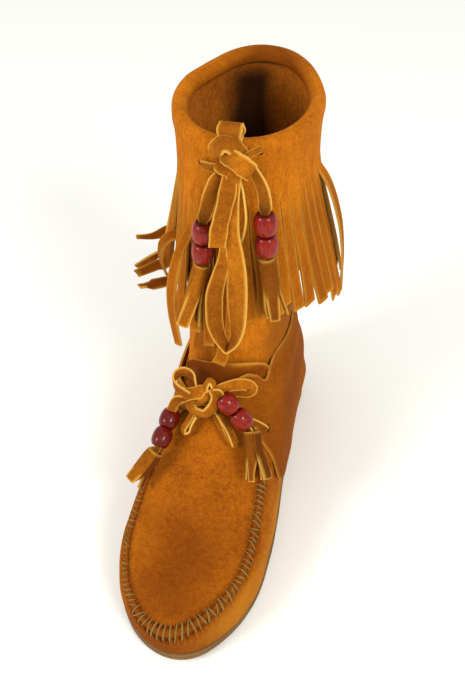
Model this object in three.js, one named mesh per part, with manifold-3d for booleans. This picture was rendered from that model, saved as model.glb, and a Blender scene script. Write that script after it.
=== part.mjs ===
// Fringed suede moccasin boot for the left foot, standing empty on its sole.
// Millimetres, +Z up. The toe points to -Y, the outer side of the foot is +X,
// and the origin is on the floor under the heel.
import * as THREE from 'three';
import { mergeVertices } from 'three/addons/utils/BufferGeometryUtils.js';
import Module from 'manifold-3d';

const wasm = await Module();
wasm.setup();

// Clearance between pieces that touch, the smallest step used to find a slope, the smallest
// sine that counts as off the middle line, and the halvings that find the top of the foot.
const GAP = 0.3;
const TINY = 0.01;
const ON_MIDDLE = 1e-9;
const HALVINGS = 40;

// Facets round or along each piece.
const FACETS = { sole: 52, insole: 28, upper: 42, shaft: 32, collar: 36, knot: 10 };
const TONGUE_FACETS = { up: 4, round: 10 };
const QUARTER_FACETS = { up: 9, round: 26 };

// Ends of the outsole, and the points from which its toe and heel are rounded.
const SOLE_BACK = 33;
const SOLE_FRONT = -219;
const TOE_CENTRE = -150;
const HEEL_POWER = 2.3;

// Foot outline seen from above: middle line and half width at each station along the foot.
const PLAN = [
  { y: -219, axis: -0.5, half: 45 },
  { y: -205, axis: -2.8, half: 45 },
  { y: -185, axis: -4.2, half: 46.2 },
  { y: -150, axis: -5.2, half: 47.3 },
  { y: -135, axis: -5.2, half: 47.3 },
  { y: -110, axis: -4.2, half: 44.8 },
  { y: -80, axis: -2.2, half: 39.5 },
  { y: -50, axis: -0.6, half: 35 },
  { y: -20, axis: 0, half: 33 },
  { y: 10, axis: 0.5, half: 32.5 },
  { y: 60, axis: 0, half: 32 },
];

// Outsole seen from the side: flat under heel and ball, arch between, spring at the toe.
const SOLE_LINE = [
  { y: -222, top: 11.4, bottom: 4.4 },
  { y: -205, top: 9.6, bottom: 2.6 },
  { y: -185, top: 8, bottom: 0.8 },
  { y: -165, top: 7.2, bottom: 0 },
  { y: -102, top: 7.2, bottom: 0 },
  { y: -85, top: 7.8, bottom: 1.6 },
  { y: -60, top: 8.6, bottom: 2.6 },
  { y: -28, top: 9.5, bottom: 0 },
  { y: 0, top: 10, bottom: 0 },
  { y: 40, top: 10, bottom: 0 },
];

// Side of the outsole: share of its thickness from the bottom, and how far it is drawn in.
const SOLE_EDGE = [
  { share: 0, inset: 2.4 },
  { share: 0.2, inset: 0.5 },
  { share: 0.5, inset: 0 },
  { share: 0.82, inset: 0.7 },
  { share: 1, inset: 1 },
];

// Outline of foot and leg at levels above the sole: front, back, half width and middle of the leg.
const LEVELS = [
  { level: 0, front: -213, back: 31, half: 33, middle: 0 },
  { level: 5, front: -216, back: 33.5, half: 34, middle: 0 },
  { level: 12, front: -217, back: 34.5, half: 35, middle: 0 },
  { level: 18, front: -215, back: 35, half: 35, middle: 0 },
  { level: 23, front: -209, back: 35, half: 35, middle: 0 },
  { level: 28, front: -196, back: 35, half: 35, middle: 0 },
  { level: 34, front: -175, back: 34.6, half: 34.6, middle: -1.5 },
  { level: 42, front: -149, back: 33.8, half: 34, middle: -2.5 },
  { level: 52, front: -125, back: 32.6, half: 33.3, middle: -3.5 },
  { level: 64, front: -105, back: 31, half: 33, middle: -4.2 },
  { level: 76, front: -92, back: 30, half: 34, middle: -4 },
  { level: 88, front: -83.5, back: 29.5, half: 34, middle: -4 },
  { level: 100, front: -78.5, back: 30, half: 34.5, middle: -3.5 },
  { level: 120, front: -74, back: 32, half: 35.5, middle: -2.5 },
  { level: 150, front: -70, back: 37, half: 37.5, middle: -1 },
  { level: 190, front: -66, back: 45, half: 39.5, middle: 1 },
  { level: 225, front: -63, back: 51.2, half: 39.4, middle: 2 },
  { level: 262, front: -61, back: 55.8, half: 38.8, middle: 2 },
];

// Roundness of the vamp across the foot, of the leg, and of the tuck above the sole, how the sides of
// the heel lean in, and how the rim tilts to the back and to the outer side.
const DOME = { rise: 3.2, side: 2.2 };
const LEG_POWER = 2.15;
const TUCK = { share: 0.045, height: 9 };
const NOSE_LEVEL = 12;
const HEEL_LEAN = { share: 0.07, front: -40, back: 10, from: 4, to: 34 };
const FOOT_TO_LEG = { from: 40, to: 92 };
const SOLE_FADE = { from: 20, to: 75, base: 9.3 };
const RIM_TILT = { slope: -0.055, y: 22.4, side: -0.085, x: 2, from: 110, to: 255 };

// Layers, measured outwards from the foot's outer skin.
const UPPER = { inner: -1.8, outer: 0 };
const QUARTER = { inner: 1.3, outer: 2.8 };
const SHAFT = { inner: -4.1, outer: -2.5 };
const HEADER = { inner: -2, outer: -0.5 };
const INSOLE = { side: 5.2, front: 9, back: 4.8, thick: 2.5 };

// Levels and turns (degrees round the boot from the heel, 90 is the outer side) of the edges.
const UPPER_STEPS = [
  0, 0.04, 0.1, 0.17, 0.23, 0.28, 0.325, 0.375, 0.43, 0.5, 0.57, 0.65, 0.73, 0.81, 0.9, 1,
];
const THROAT = { side: 78, drop: 14, turn: 180, reach: 42 };
const TONGUE = { turn: 174, reach: 46, shoulder: 88, rise: 19 };
const QUARTER_LOW = 16;
const QUARTER_TOP = [
  { turn: -168, level: 77 },
  { turn: -155, level: 82 },
  { turn: -140, level: 81 },
  { turn: -122, level: 79 },
  { turn: -95, level: 80 },
  { turn: -40, level: 83 },
  { turn: 0, level: 85 },
  { turn: 50, level: 89 },
  { turn: 95, level: 94.5 },
  { turn: 112, level: 96.5 },
  { turn: 126, level: 94 },
  { turn: 140, level: 93 },
  { turn: 156, level: 99 },
  { turn: 168, level: 96.5 },
];
const QUARTER_FRONT = [
  { level: 16, turn: 76 },
  { level: 24, turn: 91 },
  { level: 38, turn: 113 },
  { level: 49, turn: 126 },
  { level: 60, turn: 140 },
  { level: 71, turn: 150 },
  { level: 78, turn: 159 },
  { level: 87, turn: 166 },
  { level: 99, turn: 168 },
];
const SHAFT_LEVELS = [72, 78, 85, 93, 103, 120, 155, 195];
const RIM_LEVEL = 250;
const COLLAR = { out: 4.3, up: 4.7, middle: -2.9, sides: 8 };
const HEADER_LOW = 214;

// Raised moccasin seam over the vamp, from the outer wing round the toe to the inner wing.
const SEAM_LINE = [
  { level: 50, turn: 131 },
  { level: 43, turn: 132 },
  { level: 36, turn: 130.5 },
  { level: 30, turn: 131 },
  { level: 25.5, turn: 136 },
  { level: 23.3, turn: 146 },
  { level: 21.6, turn: 160 },
  { level: 20, turn: 174 },
  { level: 19, turn: 188 },
  { level: 19.5, turn: 202 },
  { level: 21.5, turn: 215 },
  { level: 25, turn: 223.5 },
  { level: 30, turn: 228.5 },
  { level: 36, turn: 229.5 },
  { level: 43, turn: 228 },
  { level: 50, turn: 229 },
];
const SEAM = { width: 5.5, low: 0.35, high: 2.1, steps: 38 };

// Fringe: how far the strips stand out at their ends and how far they drop, round the boot.
const STRIPS = { count: 44, share: 0.9, thick: 1.3, steps: 3, curve: 1.15, ragged: 4, sway: 2 };
const FRINGE = [
  { turn: 0, flare: 4, drop: 88 },
  { turn: 45, flare: 9, drop: 90 },
  { turn: 90, flare: 19, drop: 88 },
  { turn: 122, flare: 15, drop: 76 },
  { turn: 150, flare: 12, drop: 73 },
  { turn: 165, flare: 12, drop: 84 },
  { turn: 180, flare: 13, drop: 98 },
  { turn: 200, flare: 13, drop: 92 },
  { turn: 225, flare: 14, drop: 96 },
  { turn: 270, flare: 17, drop: 102 },
  { turn: 315, flare: 9, drop: 94 },
  { turn: 360, flare: 4, drop: 88 },
];

// Strips on the inner side that curl away from the leg, by their number round the boot.
const SPLAYED = [
  { strip: 25, flare: 21.5, drop: 106, curve: 1 },
  { strip: 28, flare: 33.6, drop: 79.3, curve: 2.2 },
  { strip: 29, flare: 15.5, drop: 84.8, curve: 1.4 },
  { strip: 30, flare: 36.6, drop: 87.8, curve: 2.1 },
  { strip: 31, flare: 39.4, drop: 92.3, curve: 2.1 },
  { strip: 32, flare: 41.9, drop: 76.9, curve: 2.1 },
];

// Lace: a flat suede thong, narrower where it is drawn through a hole or a bead, with the shares
// of its length over which it narrows, and the length of one facet.
const THONG = { width: 7, wide: 8.4, slim: 5, thick: 1.6, drawn: 3.2, facet: 11, least: 6 };
const NARROWING = { loop: 0.12, root: 0.3, bead: 0.5 };
const HOLE = { radius: 3.7, length: 14, sides: 10 };
const ANKLE_HOLE = { level: 62, turn: 133 };
const COLLAR_HOLES = { level: 233, outer: 157, inner: 197 };

// Lace bars over the front, from hole to hole: level, turn, distance off the skin, and width.
const ANKLE_BAR = [
  { level: 62, turn: 133, out: 1.2, width: 3.2 },
  { level: 65, turn: 139, out: 5, width: 5 },
  { level: 73, turn: 155, out: 5, width: 6 },
  { level: 80, turn: 172, out: 2.4, width: 6 },
  { level: 80, turn: 192, out: 2.4, width: 6 },
  { level: 73, turn: 207, out: 4.9, width: 6 },
  { level: 65, turn: 221, out: 5.3, width: 4.6 },
  { level: 62, turn: 227, out: 1.2, width: 3.2 },
];
const COLLAR_BAR = [
  { level: 233, turn: 157, out: -1, width: 3.2 },
  { level: 233.5, turn: 161, out: 1.2, width: 4.6 },
  { level: 234, turn: 170, out: 1.4, width: 5 },
  { level: 234, turn: 184, out: 1.4, width: 5 },
  { level: 233.5, turn: 193, out: 1.2, width: 4.6 },
  { level: 233, turn: 197, out: -1, width: 3.2 },
];

// Knots: middle, and half sizes across, front to back and up.
const COLLAR_KNOT = { x: 7.5, y: -69.6, z: 261.5, across: 10, deep: 5.6, up: 10.5 };
const ANKLE_KNOT = { x: -10, y: -98.4, z: 96, across: 10.5, deep: 5.4, up: 8 };
const KNOT_SHAPE = [
  { share: 0.78, rise: -1 },
  { share: 1, rise: -0.55 },
  { share: 1, rise: 0.3 },
  { share: 0.72, rise: 0.85 },
];
const KNOT_CURL = { radius: 4.2, width: 5, steps: 8, from: -35, to: 215, sink: 4 };

// Routes of the loops and tails that hang from the knots, chosen by hand along each thong.
// The last column turns the flat side away from the front, in degrees.
const COLLAR_LOOP_LONG = [
  [10.5, -71.8, 250.4, 0], [11.4, -76, 243, 0], [11, -78.5, 228, 5], [10.6, -79.4, 212, 8],
  [11.4, -80, 196, 12], [12.8, -80.6, 180, 14], [13, -81, 165, 12], [11, -81.3, 151, 8],
  [7.6, -81.6, 140, 2], [3.8, -81.6, 138.6, -2], [-0.6, -81.3, 147, -8], [-3, -81, 160, -12],
  [-3.2, -80.6, 174, -14], [-0.6, -80, 190, -10], [2.4, -79.4, 206, -8], [4, -78.5, 224, -4],
  [4.6, -76, 241, 0], [4.6, -71.8, 250.4, 0],
];
const COLLAR_LOOP_SHORT = [
  [14, -68.8, 250, 0], [15.6, -71.6, 243, 10], [17, -73, 231, 25], [16.6, -73.6, 219, 35],
  [15, -74, 211.5, 20], [12.2, -74, 213, -10], [11.2, -73.6, 222, -25], [11, -72.6, 234, -20],
  [10, -70.8, 244, -8], [8, -68.8, 250, 0],
];
const COLLAR_TAIL = [
  [7.4, -74, 250, 0], [7.6, -79, 244, 4], [6.6, -82.4, 235, 8], [4.8, -83.4, 224, 10],
  [2.6, -84, 210, 12],
];
const COLLAR_END_OUTER = [
  [18.6, -68, 255], [21, -70.6, 251.5], [23.8, -72, 246.6], [25.3, -72.2, 240],
];
const COLLAR_END_INNER = [
  [1, -67, 250], [-0.6, -70, 243], [-3.6, -71.4, 234], [-6.4, -71.6, 227],
];
const ANKLE_LOOP_UP = [
  [-16.6, -97, 104.1, 0], [-22, -92, 109, -20], [-26.6, -88.6, 111, -60], [-30.4, -88, 107.6, -120],
  [-29.6, -90, 102.6, -160], [-26.4, -93.4, 100, -180], [-22, -97, 99.6, -180],
];
const ANKLE_LOOP_SIDE = [
  [-3.6, -94.4, 104.6, 0], [4.6, -86, 110.4, 0], [13.6, -82.4, 109, 0], [19.4, -81, 103.6, 0],
  [17.4, -84, 98.8, 0], [11, -86.6, 98.4, 0], [5, -89.4, 99, 0], [1.1, -94, 98.6, 0],
];
const ANKLE_LOOP_LOW = [
  [-8, -99.6, 86, 0], [-4.6, -102.8, 83.4, 0], [1.4, -106.4, 80, 0], [7.6, -109.6, 76.4, 0],
  [10.6, -111.6, 72.6, 0], [6.8, -113.2, 71, 0], [0.4, -112.4, 73.4, 0], [-6.4, -109.4, 78, 0],
  [-11, -105, 82.6, 0], [-13.6, -100.6, 86, 0],
];
const ANKLE_END_OUTER = [
  [-8, -98.4, 104.5], [-5, -97.4, 108.4], [-1.4, -96.2, 110.4],
];
const ANKLE_END_INNER = [
  [-21, -98.6, 93], [-25.4, -97, 92.4], [-28.4, -95.2, 90],
];

// Bead pairs by their middles, and the ends of the tassels that hang under them.
const BEAD_PAIRS = [
  { name: 'collar_outer', upper: [26, -71.6, 223.4], lower: [26.5, -72.2, 210], end: [32, -76, 164] },
  { name: 'collar_inner', upper: [-8.4, -71.6, 212.4], lower: [-9.4, -72.4, 199.2], end: [-20, -82, 152] },
  { name: 'ankle_outer', upper: [7, -97.4, 104], lower: [16, -100.2, 94.6], end: [29.4, -122, 65.6] },
  { name: 'ankle_inner', upper: [-32.4, -100.2, 81.4], lower: [-35.6, -111.2, 74.4], end: [-48, -132, 55] },
];

// Wooden barrel beads, two on each lace end, and the rolled tassels under them.
const BEAD = { radius: 6.2, end: 4.7, bore: 2.3, length: 12.6, belly: 0.33, entry: 1, sides: 8 };
const TASSEL = { cuff: 4.6, cuffLong: 12, sides: 6, spread: 7.5, root: 3 };
const TASSEL_STRIPS = { count: 5, width: 4.4, thick: 1.3, ragged: 2 };

const SUEDE = 0xb5691f;
const SUEDE_DARK = 0x8c4a17;
const SUEDE_EDGE = 0xc98a35;
const RUBBER = 0x8f6a3c;
const WOOD = 0x6e1a1e;
const THREAD = 0x9a8a55;
const MATTE = 0.95;
const SATIN = 0.7;
const GLOSS = 0.25;

// Multipliers that scatter a strip's number into an uneven value.
const SCATTER = { number: 12.9898, kind: 78.233, wide: 43758.5453 };

const { clamp, degToRad, lerp, smoothstep } = THREE.MathUtils;

// Smooth curve through the rows of a table, with no overshoot between them.
function curveThrough(rows, along, column) {
  const at = rows.map((row) => row[along]);
  const value = rows.map((row) => row[column]);
  const width = at.slice(1).map((end, i) => end - at[i]);
  const rise = width.map((step, i) => (value[i + 1] - value[i]) / step);
  const slope = value.map((_, i) => {
    if (i === 0) return rise[0];
    if (i === rise.length) return rise[i - 1];
    if (rise[i - 1] * rise[i] <= 0) return 0;
    const before = 2 * width[i] + width[i - 1];
    const after = width[i] + 2 * width[i - 1];
    return (before + after) / (before / rise[i - 1] + after / rise[i]);
  });
  return (place) => {
    const p = clamp(place, at[0], at[at.length - 1]);
    const i = clamp(at.findIndex((end) => end > p) - 1, 0, width.length - 1);
    const last = p >= at[at.length - 1] ? width.length - 1 : i;
    const t = (p - at[last]) / width[last];
    const near = (1 + 2 * t) * (1 - t) ** 2 * value[last] + t * (1 - t) ** 2 * width[last] * slope[last];
    const far = t * t * (3 - 2 * t) * value[last + 1] - t * t * (1 - t) * width[last] * slope[last + 1];
    return near + far;
  };
}

const planAxis = curveThrough(PLAN, 'y', 'axis');
const planHalf = curveThrough(PLAN, 'y', 'half');
const soleTop = curveThrough(SOLE_LINE, 'y', 'top');
const soleBottom = curveThrough(SOLE_LINE, 'y', 'bottom');
const frontAt = curveThrough(LEVELS, 'level', 'front');
const backAt = curveThrough(LEVELS, 'level', 'back');
const legHalf = curveThrough(LEVELS, 'level', 'half');
const legMiddle = curveThrough(LEVELS, 'level', 'middle');

function toeRound(y, front) {
  const share = clamp((TOE_CENTRE - y) / (TOE_CENTRE - front), 0, 1);
  return Math.sqrt(1 - share ** 2);
}

function heelRound(y, back) {
  return Math.sqrt(1 - clamp(y / back, 0, 1) ** HEEL_POWER);
}

// Level of the top of the foot at a station along it, found on the front line by halving.
function crestLevel(y) {
  let low = NOSE_LEVEL;
  let high = LEVELS[LEVELS.length - 1].level;
  for (let i = 0; i < HALVINGS; i += 1) {
    const middle = (low + high) / 2;
    if (frontAt(middle) < y) low = middle;
    else high = middle;
  }
  return (low + high) / 2;
}

// Point on the outer skin of foot and leg at a level and a turn in degrees.
function skin(level, turn) {
  const angle = degToRad(turn);
  const front = frontAt(level);
  const back = backAt(level);
  const middle = (front + back) / 2;
  const reach = (back - front) / 2;
  const y = middle + reach * Math.cos(angle);
  const dome = (1 - clamp(level / crestLevel(y), 0, 1) ** DOME.rise) ** (1 / DOME.side);
  const tuck = 1 - TUCK.share * clamp(1 - level / TUCK.height, 0, 1) ** 2;
  const toe = toeRound(y, frontAt(Math.min(level, NOSE_LEVEL)));
  const behind = smoothstep(y, HEEL_LEAN.front, HEEL_LEAN.back);
  const lean = behind * smoothstep(level, HEEL_LEAN.from, HEEL_LEAN.to);
  const heel = heelRound(y, back) * (1 - HEEL_LEAN.share * lean);
  const foot = planHalf(y) * dome * tuck * toe * heel;
  const leg = legHalf(level) * (1 - Math.abs(Math.cos(angle)) ** LEG_POWER) ** (1 / LEG_POWER);
  const legShare = smoothstep(level, FOOT_TO_LEG.from, FOOT_TO_LEG.to);
  const half = lerp(foot, leg, legShare);
  const side = Math.abs(Math.sin(angle)) < ON_MIDDLE ? 0 : Math.sign(Math.sin(angle));
  const x = lerp(planAxis(y), legMiddle(level), legShare) + side * half;
  const base = lerp(soleTop(y) + GAP, SOLE_FADE.base, smoothstep(level, SOLE_FADE.from, SOLE_FADE.to));
  const tilt = RIM_TILT.slope * (y - RIM_TILT.y) + RIM_TILT.side * (x - RIM_TILT.x);
  const tilted = tilt * smoothstep(level, RIM_TILT.from, RIM_TILT.to);
  return new THREE.Vector3(x, y, level + base + tilted);
}

function skinNormal(level, turn) {
  const up = skin(level + TINY, turn).sub(skin(Math.max(level - TINY, 0), turn));
  const round = skin(level, turn + TINY).sub(skin(level, turn - TINY));
  return up.cross(round).normalize();
}

// Point a given distance outside the skin, or inside it where the distance is negative.
function layer(level, turn, out) {
  return skin(level, turn).addScaledVector(skinNormal(level, turn), out);
}

// Closed body from vertices and triangles, turned so that its faces point outwards.
function closedBody(points, triangles) {
  const volume = triangles.reduce((sum, [a, b, c]) => {
    const cross = new THREE.Vector3().crossVectors(points[b], points[c]);
    return sum + points[a].dot(cross);
  }, 0);
  const faces = volume < 0 ? triangles.map(([a, b, c]) => [a, c, b]) : triangles;
  const geometry = new THREE.BufferGeometry().setFromPoints(points);
  geometry.setIndex(faces.flat());
  return geometry;
}

// Wall between an outer and an inner grid of points, closed along its edges.
// A wrapped wall runs all the way round and has edges only at its top and bottom.
function wall(rows, columns, place, wrapped) {
  const points = [];
  const triangles = [];
  const across = wrapped ? columns : columns + 1;
  const index = (face, i, j) => (face * (rows + 1) + i) * across + (wrapped ? j % columns : j);
  const quad = (a, b, c, d) => triangles.push([a, b, c], [a, c, d]);
  for (const face of [0, 1]) {
    for (let i = 0; i <= rows; i += 1) {
      for (let j = 0; j < across; j += 1) points.push(place(i / rows, j / columns, face));
    }
  }
  for (let i = 0; i < rows; i += 1) {
    for (let j = 0; j < columns; j += 1) {
      quad(index(0, i, j), index(0, i, j + 1), index(0, i + 1, j + 1), index(0, i + 1, j));
      quad(index(1, i, j), index(1, i + 1, j), index(1, i + 1, j + 1), index(1, i, j + 1));
    }
  }
  for (let j = 0; j < columns; j += 1) {
    quad(index(0, 0, j), index(1, 0, j), index(1, 0, j + 1), index(0, 0, j + 1));
    quad(index(0, rows, j), index(0, rows, j + 1), index(1, rows, j + 1), index(1, rows, j));
  }
  for (let i = 0; i < rows && !wrapped; i += 1) {
    quad(index(0, i, 0), index(0, i + 1, 0), index(1, i + 1, 0), index(1, i, 0));
    quad(index(0, i, columns), index(1, i, columns), index(1, i + 1, columns), index(0, i + 1, columns));
  }
  return closedBody(points, triangles);
}

// Body through a stack of equal rings whose point j faces point n - j across the boot.
function ringStack(rings) {
  const count = rings[0].length;
  const points = rings.flat();
  const triangles = [];
  const quad = (a, b, c, d) => triangles.push([a, b, c], [a, c, d]);
  for (let i = 0; i < rings.length - 1; i += 1) {
    for (let j = 0; j < count; j += 1) {
      const next = (j + 1) % count;
      quad(i * count + j, i * count + next, (i + 1) * count + next, (i + 1) * count + j);
    }
  }
  const ladder = (start, flip) => {
    const face = (a, b, c) => {
      const corners = flip ? [a, c, b] : [a, b, c];
      triangles.push(corners.map((corner) => start + corner));
    };
    face(0, 1, count - 1);
    for (let j = 1; j < count / 2 - 1; j += 1) {
      face(j, j + 1, count - j);
      face(j + 1, count - j - 1, count - j);
    }
    face(count / 2 - 1, count / 2, count / 2 + 1);
  };
  ladder(0, true);
  ladder((rings.length - 1) * count, false);
  return closedBody(points, triangles);
}

// Flat strip along points, each with its own facing direction and width.
function strip(stations, thick) {
  const points = [];
  const triangles = [];
  const quad = (a, b, c, d) => triangles.push([a, b, c], [a, c, d]);
  stations.forEach((station, i) => {
    const before = stations[Math.max(i - 1, 0)].at;
    const after = stations[Math.min(i + 1, stations.length - 1)].at;
    const along = after.clone().sub(before).normalize();
    const side = along.clone().cross(station.facing).normalize();
    const out = side.clone().cross(along);
    for (const [across, deep] of [[-1, -1], [1, -1], [1, 1], [-1, 1]]) {
      const corner = station.at.clone().addScaledVector(side, across * station.width / 2);
      points.push(corner.addScaledVector(out, deep * thick / 2));
    }
  });
  const last = 4 * (stations.length - 1);
  for (let i = 0; i < last; i += 4) {
    for (let j = 0; j < 4; j += 1) quad(i + j, i + (j + 1) % 4, i + 4 + (j + 1) % 4, i + 4 + j);
  }
  quad(3, 2, 1, 0);
  quad(last, last + 1, last + 2, last + 3);
  return closedBody(points, triangles);
}

function toSolid(geometry) {
  const bare = geometry.clone();
  bare.deleteAttribute('normal');
  bare.deleteAttribute('uv');
  const merged = mergeVertices(bare);
  const vertProperties = merged.attributes.position.array;
  const triVerts = Uint32Array.from(merged.index.array);
  return new wasm.Manifold(new wasm.Mesh({ numProp: 3, vertProperties, triVerts }));
}

function toGeometry(solid) {
  const { vertProperties, triVerts } = solid.getMesh();
  const geometry = new THREE.BufferGeometry();
  geometry.setAttribute('position', new THREE.BufferAttribute(vertProperties, 3));
  geometry.setIndex(new THREE.BufferAttribute(triVerts, 1));
  return geometry;
}

function named(name, geometry, color, roughness = MATTE) {
  geometry.computeVertexNormals();
  const mesh = new THREE.Mesh(geometry, new THREE.MeshStandardMaterial({ color, roughness, metalness: 0 }));
  mesh.name = name;
  return mesh;
}

// Small repeatable unevenness between -1 and 1 for the strip of a given number.
function uneven(number, kind) {
  const wave = Math.sin(number * SCATTER.number + kind * SCATTER.kind) * SCATTER.wide;
  return 2 * (wave - Math.floor(wave)) - 1;
}

function soleRing(sides, inset, height) {
  const front = SOLE_FRONT + inset.front;
  const back = SOLE_BACK - inset.back;
  return Array.from({ length: sides }, (_, j) => {
    const angle = 2 * Math.PI * j / sides;
    const y = (front + back) / 2 + (back - front) / 2 * Math.cos(angle);
    const half = (planHalf(y) - inset.side) * toeRound(y, front) * heelRound(y, back);
    const side = j % (sides / 2) === 0 ? 0 : Math.sign(Math.sin(angle));
    return new THREE.Vector3(planAxis(y) + side * half, y, height(y));
  });
}

function outsole() {
  const rings = SOLE_EDGE.map(({ share, inset }) => {
    const height = (y) => lerp(soleBottom(y), soleTop(y), share);
    return soleRing(FACETS.sole, { front: inset, back: inset, side: inset }, height);
  });
  return named('outsole', ringStack(rings), RUBBER, SATIN);
}

function insole() {
  const rises = [GAP, GAP + INSOLE.thick];
  const rings = rises.map((rise) => soleRing(FACETS.insole, INSOLE, (y) => soleTop(y) + rise));
  return named('insole', ringStack(rings), SUEDE_DARK);
}

function throatLevel(turn) {
  const away = clamp(Math.abs(turn - THROAT.turn) / THROAT.reach, 0, 1);
  return THROAT.side - THROAT.drop * Math.cos(away * Math.PI / 2) ** 2;
}

// Vamp, sides and heel in one hollow wall, open under the foot and at the ankle.
function upper() {
  const place = (up, round, face) => {
    const turn = 360 * round;
    const step = UPPER_STEPS[Math.round(up * (UPPER_STEPS.length - 1))];
    return layer(throatLevel(turn) * step, turn, face === 0 ? UPPER.outer : UPPER.inner);
  };
  return named('upper', wall(UPPER_STEPS.length - 1, FACETS.upper, place, true), SUEDE);
}

// Flap that carries the vamp on above the lace, in front of the leg.
function tongue() {
  const place = (up, round, face) => {
    const share = 2 * round - 1;
    const turn = TONGUE.turn + TONGUE.reach * share;
    const top = TONGUE.shoulder + TONGUE.rise * Math.sqrt(Math.max(1 - share ** 2, 0));
    const level = lerp(throatLevel(turn) + 2 * GAP, top, up);
    return layer(level, turn, face === 0 ? UPPER.outer : UPPER.inner);
  };
  return named('tongue', wall(TONGUE_FACETS.up, TONGUE_FACETS.round, place, false), SUEDE);
}

// Wing piece that wraps the heel and carries the ankle lace.
function quarter() {
  const topLevel = curveThrough(QUARTER_TOP, 'turn', 'level');
  const frontTurn = curveThrough(QUARTER_FRONT, 'level', 'turn');
  const reach = QUARTER_TOP[QUARTER_TOP.length - 1].turn;
  const place = (up, round, face) => {
    const share = 2 * round - 1;
    const level = lerp(QUARTER_LOW, topLevel(share * reach), up);
    const turn = share * frontTurn(level);
    return layer(level, turn, face === 0 ? QUARTER.outer : QUARTER.inner);
  };
  let wing = toSolid(wall(QUARTER_FACETS.up, QUARTER_FACETS.round, place, false));
  for (const side of [1, -1]) wing = wing.subtract(holeAt(ANKLE_HOLE.level, side * ANKLE_HOLE.turn));
  return named('quarter', toGeometry(wing), SUEDE);
}

// Round cutter through the layers at a point on the boot.
function holeAt(level, turn) {
  const cutter = new THREE.CylinderGeometry(HOLE.radius, HOLE.radius, HOLE.length, HOLE.sides);
  const up = new THREE.Vector3(0, 1, 0);
  cutter.applyQuaternion(new THREE.Quaternion().setFromUnitVectors(up, skinNormal(level, turn)));
  const at = skin(level, turn);
  return toSolid(cutter.translate(at.x, at.y, at.z));
}

function mocSeam() {
  const marks = SEAM_LINE.map(({ level, turn }) => new THREE.Vector3(level, turn, 0));
  const line = new THREE.CatmullRomCurve3(marks);
  const stations = line.getPoints(SEAM.steps).map(({ x: level, y: turn }) => ({
    at: layer(level, turn, (SEAM.low + SEAM.high) / 2),
    facing: skinNormal(level, turn),
    width: SEAM.width,
  }));
  return named('moc_seam', strip(stations, SEAM.high - SEAM.low), THREAD);
}

function collarBottom() {
  return RIM_LEVEL - 2 * COLLAR.up;
}

// Leg tube, tucked into the upper at the ankle.
function shaft() {
  const levels = [...SHAFT_LEVELS, collarBottom() - 2 * GAP];
  const place = (up, round, face) => {
    const level = levels[Math.round(up * (levels.length - 1))];
    return layer(level, 360 * round, face === 0 ? SHAFT.outer : SHAFT.inner);
  };
  return named('shaft', wall(levels.length - 1, FACETS.shaft, place, true), SUEDE_DARK);
}

// Soft rolled rim that sits on the top edge of the leg.
function collar() {
  const sides = COLLAR.sides;
  const turns = FACETS.collar;
  const points = [];
  const triangles = [];
  for (let j = 0; j < turns; j += 1) {
    const turn = 360 * j / turns;
    const level = RIM_LEVEL - COLLAR.up;
    const out = skinNormal(level, turn).setZ(0).normalize();
    const middle = skin(level, turn).addScaledVector(out, COLLAR.middle);
    for (let k = 0; k < sides; k += 1) {
      const angle = 2 * Math.PI * (k + 0.5) / sides;
      const spread = 1 / Math.cos(Math.PI / sides);
      const point = middle.clone().addScaledVector(out, COLLAR.out * Math.cos(angle));
      points.push(point.setZ(point.z + COLLAR.up * Math.sin(angle) * spread));
    }
  }
  for (let j = 0; j < turns; j += 1) {
    const next = (j + 1) % turns;
    for (let k = 0; k < sides; k += 1) {
      const over = (k + 1) % sides;
      triangles.push([j * sides + k, next * sides + k, next * sides + over]);
      triangles.push([j * sides + k, next * sides + over, j * sides + over]);
    }
  }
  return named('collar', closedBody(points, triangles), SUEDE);
}

// Four corners of one fringe strip at each step below the header, where it hangs outside the leg.
function fringeStrip(number, flareAt, dropAt) {
  const turn = 360 * (number + 0.5) / STRIPS.count;
  const row = SPLAYED.find((splay) => splay.strip === number);
  const flare = row ? row.flare : flareAt(turn) + STRIPS.sway * uneven(number, 1);
  const drop = row ? row.drop : dropAt(turn) + STRIPS.ragged * uneven(number, 2);
  const curve = row ? row.curve : STRIPS.curve;
  const sway = STRIPS.sway * uneven(number, 3);
  const root = layer(HEADER_LOW, turn, (HEADER.inner + HEADER.outer) / 2);
  const out = skinNormal(HEADER_LOW, turn).setZ(0).normalize();
  const round = new THREE.Vector3(-out.y, out.x, 0);
  const half = headerPoint(number, 0, 0, 0).distanceTo(headerPoint(number, 1, 0, 0)) / 2;
  return Array.from({ length: STRIPS.steps }, (_, i) => {
    const share = (i + 1) / STRIPS.steps;
    const at = root.clone().addScaledVector(out, flare * share ** curve);
    at.addScaledVector(round, sway * share ** 2).setZ(root.z - drop * share);
    const corner = (across, deep) => at.clone().addScaledVector(round, across * half)
      .addScaledVector(out, deep * STRIPS.thick / 2);
    return [corner(1, 1), corner(-1, 1), corner(-1, -1), corner(1, -1)];
  });
}

// Corner of the header over one strip: its left or right edge, low or high, outer or inner face.
function headerPoint(number, edge, high, face) {
  const share = number + 0.5 + (edge - 0.5) * STRIPS.share;
  const level = high ? collarBottom() - 2 * GAP : HEADER_LOW;
  return layer(level, 360 * share / STRIPS.count, face === 0 ? HEADER.outer : HEADER.inner);
}

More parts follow.
